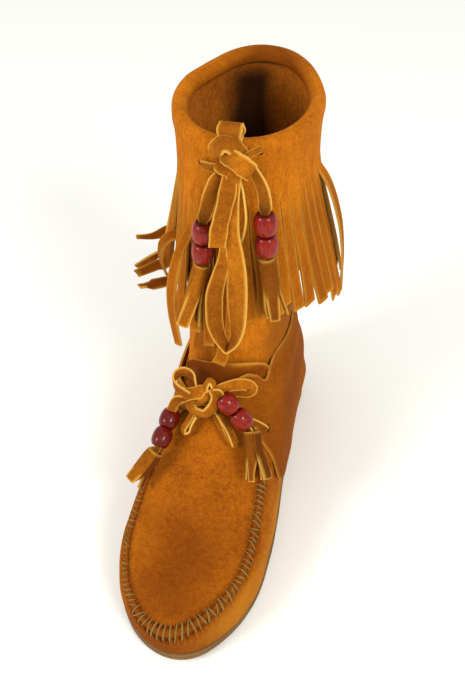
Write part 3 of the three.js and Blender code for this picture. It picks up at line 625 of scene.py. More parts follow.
@dataclass(frozen=True)
class Suede(Finish):
    """Split cowhide sanded to a nap: matt, mottled where the nap is brushed, pale where it is cut.

    The mottling comes from patches of nap lying different ways, the fine grain from the fibres.
    """

    # Colour that painted shade darkens towards, and the pale colour of cut edges and painted light.
    deep: str
    edge: str
    patch: Grain = PATCHES
    fleck: Grain = Grain(3.4, 5.0, 0.7, 0.34)
    nap: Grain = Grain(1.25, 3.0, 0.75, 0.4)
    contrast: Pair = (0.3, 0.7)
    nap_height_mm: float = 0.32
    nap_strength: float = 0.7
    streak: float = 1.0
    roughness: float = 0.95
    gloss: float = 0.06
    sheen: float = 0.06
    sheen_roughness: float = 0.6

    def surface(self, tree: bpy.types.NodeTree, place: bpy.types.NodeSocket) -> bpy.types.Node:
        """Make the shader. The nap is drawn coarser than real fibres, which are too fine to show."""
        drawn = add_node(tree, "ShaderNodeMapping", inputs={"Vector": place, "Scale": (1, 1, self.streak)})
        along = drawn.outputs["Vector"]
        noises = []
        parts = []
        for grain, vector in ((self.patch, along), (self.fleck, along), (self.nap, place)):
            noise = add_node(tree, "ShaderNodeTexNoise", inputs=grain.inputs(vector)).outputs["Fac"]
            part = add_node(tree, "ShaderNodeMapRange", inputs={
                "Value": noise, "From Min": self.contrast[0], "From Max": self.contrast[1],
                "To Min": grain.middle - grain.part, "To Max": grain.middle + grain.part})
            noises.append(noise)
            parts.append(part.outputs["Result"])
        mixed = add_node(tree, "ShaderNodeMath", {"operation": "ADD"}, {0: parts[0], 1: parts[1]})
        brushed = add_node(tree, "ShaderNodeMath", {"operation": "ADD", "use_clamp": True}, {
            0: mixed.outputs["Value"], 1: parts[2]})
        colour = add_node(tree, "ShaderNodeMix", MIX, {
            FACTOR: brushed.outputs["Value"], FIRST: linear(self.dark), SECOND: linear(self.light)})
        # The shade mark paints shade towards the deep colour; the edge mark paints cut edges and light
        # paler.
        for mark, tint in ((SHADE, self.deep), (EDGE_AND_LIGHT, self.edge)):
            amount = add_node(tree, "ShaderNodeAttribute", {"attribute_name": mark})
            colour = add_node(tree, "ShaderNodeMix", MIX, {
                FACTOR: amount.outputs["Fac"], FIRST: colour.outputs[MIXED], SECOND: linear(tint)})
        raised = add_node(tree, "ShaderNodeMath", {"operation": "ADD"}, {0: noises[2], 1: noises[1]})
        bump = add_node(tree, "ShaderNodeBump", inputs={
            "Height": raised.outputs["Value"], "Distance": self.nap_height_mm * MM,
            "Strength": self.nap_strength})
        return add_node(tree, "ShaderNodeBsdfPrincipled", inputs={
            "Base Color": colour.outputs[MIXED], "Roughness": self.roughness,
            "Specular IOR Level": self.gloss, "Sheen Weight": self.sheen,
            "Sheen Roughness": self.sheen_roughness, "Sheen Tint": linear(self.edge),
            "Normal": bump.outputs["Normal"]})


@dataclass(frozen=True)
class CrepeRubber(Finish):
    """Moulded tan rubber of a thin sole: matt, faintly grainy, scuffed paler in patches."""

    name: str = "moulded_tan_rubber"
    light: str = "#86602a"
    dark: str = "#603f18"
    scuff: Grain = Grain(14.0, 5.0, 0.65, 0.3, 0.5)
    grain: Grain = Grain(0.7, 2.0)
    contrast: Pair = (0.35, 0.65)
    grain_height_mm: float = 0.12
    grain_strength: float = 0.5
    roughness: float = 0.62
    gloss: float = 0.35
    ior: float = 1.52

    def surface(self, tree: bpy.types.NodeTree, place: bpy.types.NodeSocket) -> bpy.types.Node:
        """Make the shader, darker where the shade mark paints shade."""
        scuff = add_node(tree, "ShaderNodeTexNoise", inputs=self.scuff.inputs(place))
        grain = add_node(tree, "ShaderNodeTexNoise", inputs=self.grain.inputs(place))
        shade = add_node(tree, "ShaderNodeAttribute", {"attribute_name": SHADE})
        spread = add_node(tree, "ShaderNodeMapRange", inputs={
            "Value": scuff.outputs["Fac"], "From Min": self.contrast[0], "From Max": self.contrast[1],
            "To Min": self.scuff.middle - self.scuff.part, "To Max": self.scuff.middle + self.scuff.part})
        # Random scuffs, less where the shade mark paints shade.
        wear_and_painted_light = add_node(tree, "ShaderNodeMath", {"operation": "SUBTRACT", "use_clamp": True}, {
            0: spread.outputs["Result"], 1: shade.outputs["Fac"]})
        colour = add_node(tree, "ShaderNodeMix", MIX, {
            FACTOR: wear_and_painted_light.outputs["Value"], FIRST: linear(self.dark), SECOND: linear(self.light)})
        bump = add_node(tree, "ShaderNodeBump", inputs={
            "Height": grain.outputs["Fac"], "Distance": self.grain_height_mm * MM,
            "Strength": self.grain_strength})
        return add_node(tree, "ShaderNodeBsdfPrincipled", inputs={
            "Base Color": colour.outputs[MIXED], "Roughness": self.roughness, "IOR": self.ior,
            "Specular IOR Level": self.gloss, "Normal": bump.outputs["Normal"]})


@dataclass(frozen=True)
class LacqueredWood(Finish):
    """Turned beads dyed dark red under clear lacquer: streaked grain and a wet, sharp gloss."""

    name: str = "lacquered_red_wood"
    light: str = "#9c1e08"
    dark: str = "#4a0906"
    grain: Grain = Grain(1.6, 4.0, 0.6)
    contrast: Pair = (0.26, 0.7)
    wander: float = 0.4
    stretch: float = 0.22
    roughness: float = 0.35
    gloss: float = 0.1
    coat: float = 0.32
    coat_roughness: float = 0.08
    coat_ior: float = 1.5

    def surface(self, tree: bpy.types.NodeTree, place: bpy.types.NodeSocket) -> bpy.types.Node:
        """Make the shader, darkened by the painted shade mark, all dark where it is full."""
        drawn = add_node(tree, "ShaderNodeMapping", inputs={"Vector": place, "Scale": (1, 1, self.stretch)})
        grain = add_node(tree, "ShaderNodeTexNoise", inputs={
            **self.grain.inputs(drawn.outputs["Vector"]), "Distortion": self.wander})
        streak = add_node(tree, "ShaderNodeMapRange", inputs={
            "Value": grain.outputs["Fac"], "From Min": self.contrast[0], "From Max": self.contrast[1]})
        shade = add_node(tree, "ShaderNodeAttribute", {"attribute_name": SHADE})
        base = add_node(tree, "ShaderNodeMix", MIX, {
            FACTOR: streak.outputs["Result"], FIRST: linear(self.dark), SECOND: linear(self.light)})
        # Painted shade: darker towards the bead's ends, and over beads that lie in shadow.
        ends = add_node(tree, "ShaderNodeMix", MIX, {
            FACTOR: shade.outputs["Fac"], FIRST: base.outputs[MIXED], SECOND: linear(self.dark)})
        return add_node(tree, "ShaderNodeBsdfPrincipled", inputs={
            "Base Color": ends.outputs[MIXED], "Roughness": self.roughness,
            "Specular IOR Level": self.gloss, "Coat Weight": self.coat,
            "Coat Roughness": self.coat_roughness, "Coat IOR": self.coat_ior})


@dataclass(frozen=True)
class WaxedThread(Finish):
    """Twisted linen thread with wax: khaki, with a fine twist along it."""

    name: str = "waxed_khaki_thread"
    light: str = "#9f7a3a"
    dark: str = "#5b4019"
    ply: Grain = Grain(0.5, 2.0)
    roughness: float = 0.6
    gloss: float = 0.3

    def surface(self, tree: bpy.types.NodeTree, place: bpy.types.NodeSocket) -> bpy.types.Node:
        """Make the shader."""
        ply = add_node(tree, "ShaderNodeTexNoise", inputs=self.ply.inputs(place))
        colour = add_node(tree, "ShaderNodeMix", MIX, {
            FACTOR: ply.outputs["Fac"], FIRST: linear(self.dark), SECOND: linear(self.light)})
        return add_node(tree, "ShaderNodeBsdfPrincipled", inputs={
            "Base Color": colour.outputs[MIXED], "Roughness": self.roughness,
            "Specular IOR Level": self.gloss})


OUTER_SUEDE = Suede("rust_cowhide_suede", "#af620e", "#824008", "#672c05", "#d5952c")
# Lighter copy of the same rust suede: painted light on the leg and the cuff.
LIT_SUEDE = Suede("rust_suede_lit_copy", "#c97513", "#99510b", "#713706", "#d59632", streak=0.35)
LACE_SUEDE = Suede("rust_thong_suede", "#bb6f14", "#8d4c0a", "#592a07", "#dba242",
                   replace(PATCHES, size_mm=14.0))
CUT_SUEDE = Suede("cut_edge_suede", "#d39a3a", "#b57a25", "#8b5314", "#dcae50",
                  replace(PATCHES, size_mm=6.0))
FLESH_SUEDE = Suede("napped_flesh_side_suede", "#b8691a", "#83470f", "#150906", "#a06a2a")
FINISHES = (OUTER_SUEDE, LIT_SUEDE, LACE_SUEDE, CUT_SUEDE, FLESH_SUEDE, CrepeRubber(), LacqueredWood(),
            WaxedThread())


@dataclass
class Finishes:
    """All the materials of the boot, made once."""

    suede: bpy.types.Material
    # Lighter copy of the suede: painted light.
    cuff: bpy.types.Material
    lace: bpy.types.Material
    cut: bpy.types.Material
    flesh: bpy.types.Material
    rubber: bpy.types.Material
    wood: bpy.types.Material
    thread: bpy.types.Material

    @classmethod
    def make(cls) -> "Finishes":
        """Make every material from its finish."""
        return cls(*(finish.material() for finish in FINISHES))

    @property
    def wall(self) -> list[bpy.types.Material]:
        """Face, cut edge and flesh side of the upper's suede."""
        return [self.suede, self.cut, self.flesh]

    @property
    def leg(self) -> list[bpy.types.Material]:
        """Face, cut edge and flesh side of the leg's and the cuff's suede, the face in the lighter copy
        that paints light.
        """
        return [self.cuff, self.cut, self.flesh]

    @property
    def thong(self) -> list[bpy.types.Material]:
        """Both sides and cut edge of the lace."""
        return [self.lace, self.cut, self.lace]


@dataclass
class Sole:
    """Thin moulded outsole with a welt line round its edge, and the sock inside the boot."""

    front: float = -219.0
    back: float = 33.0
    sides: int = 320
    tread_pitch: float = 7.0
    tread_depth: float = 0.7
    groove: Pair = (0.55, 0.8)
    groove_end: Pair = (1.0, 0.9)
    bottom_rings: tuple[float, float, int] = (0.96, 0.02, 26)
    top_rings: tuple[float, float, int] = (0.9, 0.05, 8)
    # Painted shade on the bottom face and on the top face under the upper.
    face_shade: float = 0.25
    end_draw: float = 0.05
    sock_thick: float = 2.5
    sock_round: float = 0.8
    sock_inset: tuple[float, float, float] = (5.2, 9.0, 4.8)
    # Rows of the edge: share of the height, inset, and painted shade, darkest in the welt groove.
    profile: Table = field(default_factory=lambda: Table(
        "share inset shade",
        (0, 2.6, 0.1), (0.06, 1.3, 0.0), (0.2, 0.45, 0.0), (0.36, 0.1, 0.0), (0.5, 0.0, 0.05),
        (0.6, 0.15, 0.1), (0.66, 0.75, 0.6), (0.7, 0.8, 0.6), (0.76, 0.35, 0.1), (0.9, 0.5, 0.15),
        (0.97, 0.85, 0.1), (1.0, 1.6, 0.15),
    ))

    def ring(self, inset: float, front: float, back: float, height: Curve) -> np.ndarray:
        """Outline of the sole, drawn in and set at a height.

        Args:
            inset: how far the sides are drawn in.
            front: how far the toe is drawn in.
            back: how far the heel is drawn in.
            height: height at each place along the foot.

        Returns:
            Points round the outline.
        """
        toe = self.front + front
        heel = self.back - back
        angle = np.linspace(0, 2 * math.pi, self.sides, endpoint=False)
        y = (toe + heel) / 2 + (heel - toe) / 2 * np.cos(angle)
        half = (FORM.half(y) - inset) * FORM.toe_round(y, toe) * FORM.heel_round(y, heel)
        return np.stack([FORM.axis(y) + np.sign(np.sin(angle)) * half, y, height(y)], axis=-1)

    def outsole(self, finishes: Finishes) -> None:
        """Build the outsole with grooves across its bottom."""
        shape = Shape()
        rows = []
        for share, inset, shade in self.profile.values:
            def height(y: np.ndarray, s: float = share) -> np.ndarray:
                """Height of this row of the edge."""
                return FORM.sole_bottom(y) + s * (FORM.sole_top(y) - FORM.sole_bottom(y))
            rows.append(shape.add(self.ring(inset, inset, inset, height), shade=shade))
        shape.grid(np.stack(rows), wrapped=True)
        middle = (self.front + self.back) / 2
        faces = ((rows[0], shape.points[0], self.bottom_rings, FORM.sole_bottom, self.tread_depth),
                 (rows[-1], shape.points[-1], self.top_rings, FORM.sole_top, 0.0))
        for edge, rim, rings, height, depth in faces:
            inner = [edge]
            for share in np.linspace(*rings):
                y = middle + (1 - self.end_draw * (1 - share)) * (rim[:, 1] - middle)
                x = FORM.axis(y) + share * (rim[:, 0] - FORM.axis(rim[:, 1]))
                z = np.maximum(rim[:, 2] + height(y) - height(rim[:, 1]), 0)
                wave = np.cos(2 * math.pi * y / self.tread_pitch)
                z = z + depth * smooth(*self.groove, wave) * smooth(*self.groove_end, share)
                inner.append(shape.add(np.stack([x, y, z], axis=-1), shade=self.face_shade))
            shape.grid(np.stack(inner), wrapped=True)
            self.zip_up(shape, inner[-1])
        shape.piece("outsole_moulded", [finishes.rubber], ["outsole"])

    def zip_up(self, shape: Shape, ring: np.ndarray) -> None:
        """Close a long thin ring whose point j faces point n - j across the foot."""
        half = len(ring) // 2
        left = ring[1:half]
        right = ring[:half:-1]
        shape.bridge(left, right, kind=Kind.FACE)
        shape.fill([[ring[0], ring[1], ring[-1]], [ring[half - 1], ring[half], ring[half + 1]]])

    def sock(self, finishes: Finishes) -> None:
        """Build the sock that covers the inside of the sole."""
        shape = Shape()
        side, front, back = self.sock_inset
        rows = []
        high = FORM.gap + self.sock_thick
        for rise, less in ((FORM.gap, 0.0), (self.sock_thick, 0.0), (high, self.sock_round)):
            def height(y: np.ndarray, up: float = rise) -> np.ndarray:
                """Height of this row of the sock."""
                return FORM.sole_top(y) + up
            rows.append(shape.add(self.ring(side + less, front + less, back + less, height)))
        shape.grid(np.stack(rows), wrapped=True)
        self.zip_up(shape, rows[0])
        self.zip_up(shape, rows[-1])
        shape.piece("insole_sock", [finishes.flesh], ["insole"])

    def build(self, finishes: Finishes) -> None:
        """Build and dress both pieces."""
        self.outsole(finishes)
        self.sock(finishes)


# Line of the raised moccasin seam, from the outer wing round the toe to the inner wing.
SEAM_LINE = (
    (50, 131), (43, 132), (36, 130.5), (30, 131), (25.5, 136), (23.3, 146), (21.6, 160), (20, 174),
    (19, 188), (19.5, 202), (21.5, 215), (25, 223.5), (30, 228.5), (36, 229.5), (43, 228), (50, 229),
)


@dataclass
class ToeSeam:
    """Raised gathered seam round the vamp, whip-stitched with thread."""

    pitch: float = 3.4
    height: float = 1.7
    ridge_half: float = 2.5
    ridge_arc: tuple[float, float, int] = (-0.12, 1.12, 11)
    thread: float = 1.15
    thread_sides: int = 6
    thread_rows: int = 11
    gather: float = 0.8
    plug_gather: float = 0.22
    relief: float = 0.7
    gathers_at: Pair = (4.0, 4.2)
    plug_at: Pair = (3.0, 2.2)
    swell_at: Pair = (6.5, 4.5)
    ditch_half: float = 2.4
    # Where the painted shade sits: between the stitches, and along the ditch.
    pits_at: Pair = (3.2, 2.0)
    dark_half: float = 3.4
    stitch_half: float = 2.7
    stitch_toe: float = 2.2
    stitch_inner: float = 1.3
    stitch_ragged: float = 0.8
    stitch_slant: Pair = (0.8, 1.7)
    stitch_rise: float = 0.55
    steps: int = 900
    toe: Pair = (178.0, 26.0)
    inner_side: Pair = (196.0, 214.0)
    chunk: int = 4000
    stride: int = 3

    def __post_init__(self) -> None:
        """Lay the seam's line over the skin."""
        rows = np.array(SEAM_LINE, float)
        marks = spline(np.column_stack([FORM.skin(*rows.T), rows]), self.steps)
        self.level = marks[:, 3]
        self.turn = marks[:, 4]
        self.line = FORM.skin(self.level, self.turn)
        self.out = FORM.normal(self.level, self.turn)
        self.run = run_along(self.line)
        self.wave = np.cos(2 * math.pi * self.run / self.pitch)
        ahead = unit(np.gradient(self.line, axis=0))
        self.down = unit(np.cross(self.out, ahead))
        self.down *= np.sign(-(self.down @ np.array(UP)).sum())
        self.toe_share = bell(*self.toe, self.turn)
        self.inner_share = smooth(*self.inner_side, self.turn)

    def puckers(self, points: np.ndarray) -> tuple[np.ndarray, np.ndarray]:
        """Find how far the gathers beside the seam move the skin outwards, and the painted shade in the
        pits between its stitches and along its ditch.

        Args:
            points: places on the skin.

        Returns:
            Distances out of the skin, and how much painted shade darkens the pits between the stitches and
            the ditch.
        """
        flat = points.reshape(-1, 3)
        moved = np.zeros(len(flat))
        pit_shade = np.zeros(len(flat))
        for start in range(0, len(flat), self.chunk):
            part = slice(start, start + self.chunk)
            apart = np.linalg.norm(flat[part, None] - self.line[None, ::self.stride], axis=2)
            near = apart.argmin(axis=1) * self.stride
            away = apart.min(axis=1)
            below = ((flat[part] - self.line[near]) * self.down[near]).sum(axis=1)
            toe = self.toe_share[near]
            wave = self.wave[near]
            wall = (below > 0) * self.gather * (0.45 + toe) * wave * bell(*self.gathers_at, away)
            plug = (below <= 0) * self.plug_gather * wave * bell(*self.plug_at, away)
            swell = self.relief * bell(*self.swell_at, away)
            ditch = self.relief * bell(0, self.ditch_half, away)
            moved[part] = wall + plug + swell - ditch
            between = (0.5 - 0.5 * wave) * (0.55 + 0.45 * toe) * bell(*self.pits_at, away)
            pit_shade[part] = 0.75 * between + 0.35 * bell(0, self.dark_half, away)
        return moved.reshape(points.shape[:-1]), pit_shade.reshape(points.shape[:-1])

    def ridge(self, finishes: Finishes) -> None:
        """Build the raised band that the thread pulls together."""
        shape = Shape()
        angles = np.linspace(*self.ridge_arc) * math.pi
        tall = self.height * (1 + 0.14 * self.wave)
        half = self.ridge_half * (0.78 + 0.32 * self.toe_share) * (1 - 0.1 * self.wave)
        place = (self.line[:, None]
                 + half[:, None, None] * np.cos(angles)[None, :, None] * self.down[:, None]
                 + tall[:, None, None] * np.sin(angles)[None, :, None] * self.out[:, None])
        # Painted shade between the stitches and at the foot of the ridge.
        pit = 0.25 + 0.35 * (0.5 - 0.5 * self.wave)
        foot = 0.25 * np.abs(np.cos(angles)) ** 2
        numbers = shape.add(place[::2], shade=pit[::2, None] + foot)
        shape.grid(numbers)
        shape.bridge(numbers[:, 0], numbers[:, -1], kind=Kind.FACE)
        shape.fill(numbers[[0, -1]])
        shape.piece("moc_seam_ridge", [finishes.suede], ["moc_seam"])

    def stitches(self, finishes: Finishes) -> None:
        """Build the whip stitches, each a short thread slanted over the ridge."""
        shape = Shape()
        around = np.linspace(0, 2 * math.pi, self.thread_sides, endpoint=False)[:, None]
        share = np.linspace(-1, 1, self.thread_rows)
        arch = np.sqrt(np.clip(1 - share ** 2, 0, 1)) * (self.height + self.stitch_rise)
        arch = arch - 0.35 * np.abs(share) ** 6
        lift = np.interp(np.abs(share), [0, 0.8, 1], [1, 1, 0.75]) * arch
        for number in range(1, int(self.run[-1] / self.pitch)):
            mark = np.argmin(np.abs(self.run - number * self.pitch))
            down, out = self.down[mark], self.out[mark]
            long = self.stitch_half + self.stitch_toe * self.toe_share[mark]
            long = long - self.stitch_inner * self.inner_share[mark]
            long = long + self.stitch_ragged * uneven(number, 1)
            slant = self.stitch_slant[0] + self.stitch_slant[1] * uneven(number, 2)
            ahead = unit(np.cross(down, out))
            line = (self.line[mark] + np.outer(long * share, down) + np.outer(lift, out)
                    + np.outer(slant * share, ahead))
            radius = self.thread / 2 * (1 - 0.25 * np.abs(share) ** 4) * (1 + 0.25 * uneven(number, 3))
            upright = unit(np.cross(np.gradient(line, axis=0), ahead))
            ring = np.cos(around) * ahead + np.sin(around) * upright[:, None]
            numbers = shape.add(line[:, None] + radius[:, None, None] * ring)
            shape.grid(numbers, wrapped=True)
            shape.fill(numbers[[0, -1]])
        shape.piece("moc_seam_thread", [finishes.thread])

    def build(self, finishes: Finishes) -> None:
        """Build and dress the seam."""
        self.ridge(finishes)
        self.stitches(finishes)


SEAM = ToeSeam()

# Creases on the vamp and sides: levels and turns along each, its width and its depth.
UPPER_CREASES = (
    Crease(((57, 150), (53, 168), (54, 186), (58, 206)), 7.0, -1.2),
    Crease(((48, 146), (46, 165), (47, 190), (49, 212)), 9.0, 0.8),
    Crease(((60, 160), (50, 166), (41, 168)), 5.0, -0.9),
    Crease(((61, 200), (51, 196), (42, 195)), 5.0, -0.8),
    Crease(((35, 172), (34, 190), (35, 206)), 11.0, -0.9),
    Crease(((30, 165), (29, 185), (30, 200)), 9.0, 0.6),
    Crease(((12, 70), (20, 95), (24, 112)), 8.0, -1.0),
    Crease(((8, 100), (15, 112), (19, 124)), 6.0, 0.7),
    Crease(((14, 252), (20, 262), (26, 280)), 8.0, -0.9),
    Crease(((10, 20), (14, 42), (16, 64)), 7.0, -0.6),
)
QUARTER_CREASES = (
    Crease(((40, 96), (50, 104), (60, 116)), 6.0, -0.9),
    Crease(((30, 60), (44, 72), (60, 84)), 8.0, 0.7),
    Crease(((70, 66), (62, 90), (56, 108)), 7.0, -1.0),
    Crease(((46, 262), (56, 252), (66, 244)), 7.0, -0.8),
    Crease(((26, 300), (44, 290), (64, 286)), 8.0, 0.7),
    Crease(((30, 350), (50, 352), (70, 350)), 5.0, 0.5),
)
SHAFT_CREASES = (
    Crease(((112, 120), (108, 150), (109, 180), (112, 215), (116, 245)), 8.0, -2.2),
    Crease(((124, 100), (119, 135), (120, 175), (123, 220)), 8.0, 1.6),
    Crease(((135, 60), (126, 90), (116, 118)), 8.0, -2.0),
    Crease(((146, 80), (138, 110), (134, 140)), 9.0, 1.4),
    Crease(((120, 240), (128, 262), (134, 290)), 8.0, -1.8),
    Crease(((118, 10), (122, 350), (118, 330)), 8.0, -1.4),
    Crease(((240, 347), (200, 347), (150, 348), (110, 349)), 4.5, -0.9),
)


@dataclass
class Upper:
    """Vamp, sides and heel in one hollow suede wall, with the flap above the lace."""

    inner: float = -1.8
    # Painted shade on the inside of the wall.
    inner_shade: float = 0.3
    toe_foot: float = 2.0
    toe_foot_run: Pair = (-120.0, -190.0)
    toe_fill: float = 1.7
    toe_fill_at: Pair = (178.0, 22.0)
    foot_levels: Pair = (9.0, 1.0)
    relief_levels: Pair = (0.0, 7.0)
    rise_levels: Pair = (0.0, 5.0)
    top_lean: float = 1.4
    lean_levels: Pair = (66.0, 78.0)
    lean_turns: Pair = (150.0, 130.0)
    throat_side: float = 78.0
    throat_drop: float = 14.0
    throat_reach: float = 42.0
    toe_turns: Pair = (124.0, 236.0)
    toe_columns: int = 300
    heel_columns: int = 150
    rows: int = 130
    inner_rows: int = 16
    track_steps: int = 600
    track_share: float = 0.75
    tongue_turn: float = 174.0
    tongue_reach: float = 46.0
    tongue_shoulder: float = 88.0
    tongue_rise: float = 19.0
    tongue_rows: int = 40
    tongue_columns: int = 70

    def throat(self, turn: np.ndarray) -> np.ndarray:
        """Level of the top edge, lower at the front."""
        away = np.clip(np.abs(turn - 180) / self.throat_reach, 0, 1)
        return self.throat_side - self.throat_drop * np.cos(away * math.pi / 2) ** 2

    def vamp(self, finishes: Finishes) -> None:
        """Build the wall, with its creases and the gathers beside the seam."""
        shape = Shape()
        start, end = self.toe_turns
        toe = np.linspace(start, end, self.toe_columns, endpoint=False)
        heel = np.linspace(end, start + 360, self.heel_columns, endpoint=False) % 360
        turn = np.concatenate([toe, heel])[None]
        shares = np.linspace(0, 1, self.track_steps)
        levels = shares * (self.throat_side - self.throat_drop)
        run = run_along(np.column_stack([levels, self.track_share * FORM.front(levels)]))
        steps = np.interp(np.linspace(0, run[-1], self.rows), run, shares)
        level = steps[:, None] * self.throat(turn)
        skin = FORM.skin(level, turn)
        gathers, pit_shade = SEAM.puckers(skin)
        out = (creased(skin, UPPER_CREASES) + gathers) * smooth(*self.relief_levels, level)
        tread = self.toe_foot * smooth(*self.toe_foot_run, skin[..., 1])
        tread = tread + self.toe_fill * bell(*self.toe_fill_at, turn)
        out = out + tread * smooth(*self.foot_levels, level)
        lean = smooth(*self.lean_levels, level) * smooth(*self.lean_turns, np.abs(signed(turn)))
        moved = (out - self.top_lean * lean)[..., None] * FORM.normal(level, turn)
        moved[..., 2] *= smooth(*self.rise_levels, level)
        points = skin + moved
        x, y = points[..., 0], points[..., 1]
        middle = 0.55 * bell(-3, 30, x) * smooth(-128, -160, y) * smooth(-217, -203, y)
        # Painted shade along the foot, where the upper meets the sole.
        foot = 0.35 * smooth(3, 0, level)
        # Painted shade on the toe wall below the seam.
        tip = 0.8 * bell(184, 22, turn) * smooth(21, 13, level)
        # Painted light on the lower outer wall, carried by the edge mark.
        lit = 0.22 * smooth(26, 14, level) * smooth(50, 90, turn) * smooth(166, 146, turn)
        outer = shape.add(points, edge=lit, shade=np.clip(middle + foot + pit_shade + tip, 0, 1))
        below = np.linspace(0, 1, self.inner_rows)[:, None] * self.throat(turn)
        inner = shape.add(FORM.layer(below, turn, self.inner), shade=self.inner_shade)
        shape.grid(outer, wrapped=True)
        shape.grid(inner, wrapped=True, kind=Kind.BACK)
        for row in (0, -1):
            shape.bridge(outer[row], inner[row], wrapped=True)
        shape.piece("upper_vamp", finishes.wall, ["upper"])

    def tongue(self, finishes: Finishes) -> None:
        """Build the flap that stands in front of the leg above the lace."""
        shape = Shape()
        share = np.linspace(-1, 1, self.tongue_columns)[None]
        up = np.linspace(0, 1, self.tongue_rows)[:, None]
        turn = self.tongue_turn + self.tongue_reach * share
        top = self.tongue_shoulder + self.tongue_rise * np.sqrt(np.clip(1 - share ** 2, 0, 1))
        low = self.throat(turn)
        level = low + up * (top - low)
        lip = 1.5 * smooth(0.7, 1, up) + 0.5 * np.sin(3.2 * share) * smooth(0.3, 1, up) - 0.06
        lip = lip - 0.6 * bell(-0.1, 0.16, share) * smooth(1, 0.3, up) * smooth(0, 0.2, up)
        edge = np.maximum(smooth(0.93, 1, up), smooth(0.95, 1, np.abs(share)))
        # Painted shadow of the fringe and knot over the flap: dark on its inner side, where its pale cut
        # edge is left out too, and under its top on the outer side.
        inner_side = smooth(-0.45, 0.25, share)
        dim = smooth(0.1, 0.4, up) * (0.9 * inner_side + 0.5 * (1 - inner_side) * smooth(1, 0.75, up))
        outer = shape.add(FORM.layer(level, turn, lip), edge=0.7 * edge * (1 - inner_side), shade=dim)
        inner = shape.add(FORM.layer(level, turn, lip + self.inner))
        shape.wall(outer, inner)
        shape.piece("tongue_flap", finishes.wall, ["tongue"])

    def build(self, finishes: Finishes) -> None:
        """Build and dress the upper and its flap."""
        self.vamp(finishes)
        self.tongue(finishes)


@dataclass
class Quarter:
    """Wing piece wrapped round the heel, with a lace hole near each front edge."""

    inner: float = 1.3
    outer: float = 2.8
    top_lean: float = 3.8
    lean_levels: Pair = (78.0, 94.0)
    lean_turns: Pair = (138.0, 118.0)
    deepest: float = -0.7
    low: float = 16.0
    rows: int = 84
    columns: int = 300
    hole_level: float = 62.0
    hole_turn: float = 133.0
    hole_radius: float = 3.0
    top: Table = field(default_factory=lambda: Table(
        "turn level",
        (-168, 77), (-155, 80.5), (-140, 78.5), (-122, 75), (-95, 76), (-40, 81), (0, 85), (50, 89),
        (95, 94.5), (112, 96.5), (126, 94), (136, 88), (146, 95.5), (156, 99), (168, 96.5),
    ))
    front: Table = field(default_factory=lambda: Table(
        "level turn",
        (16, 76), (24, 91), (38, 113), (49, 126), (60, 140), (71, 150), (78, 159), (87, 166), (99, 168),
    ))

    def build(self, finishes: Finishes) -> None:
        """Build and dress the wing."""
        shape = Shape()
        up = np.linspace(0, 1, self.rows)[:, None]
        share = np.linspace(-1, 1, self.columns)[None]
        aside = np.abs(share)
        reach = self.top.values[-1, 0]
        level = self.low + up * (self.top.curve("level")(share * reach) - self.low)
        turn = share * self.front.curve("turn")(level)
        skin = FORM.skin(level, turn)
        stand_off = 0.5 * smooth(0.9, 1, up) + 0.25 * np.sin(np.radians(turn * 5)) * smooth(0.7, 1, up)
        flap = 0.5 * smooth(0.92, 1, aside) + 0.5 * smooth(0.08, 0, up)
        move = creased(skin, QUARTER_CREASES) * (1 - 0.5 * smooth(0.9, 1, aside)) + stand_off + flap
        lean = smooth(*self.lean_levels, level) * smooth(*self.lean_turns, np.abs(turn))
        move = np.maximum(move, self.deepest) - self.top_lean * lean
        rim = np.maximum(smooth(0.975, 1, up), smooth(0.02, 0, up))
        rim = np.maximum(rim, smooth(0.985, 1, aside))
        normal = FORM.normal(level, turn)
        faces = [skin + (out + move)[..., None] * normal for out in (self.outer, self.inner)]
        removed = np.zeros((self.rows - 1, self.columns - 1), bool)
        for side in (1, -1):
            removed |= punch(faces, FORM.layer(self.hole_level, side * self.hole_turn, self.outer),
                             self.hole_radius, wrapped=False)
        # Painted shade across the middle of the wing and towards its heel and outer side.
        dim = 0.25 * bell(0.45, 0.3, up) + 0.3 * smooth(20, 70, turn)
        dim = dim + 0.15 * smooth(30, 90, turn) * smooth(130, 104, turn)
        # Pale cut edges, paler at the front edges where they catch the light: painted light.
        wear_and_painted_light = rim * (0.12 + 0.3 * smooth(118, 136, np.abs(turn)))
        outer = shape.add(faces[0], edge=wear_and_painted_light, shade=dim)
        inner = shape.add(faces[1])
        shape.wall(outer, inner, removed=removed)
        shape.piece("quarter_wing", finishes.wall, ["quarter"])


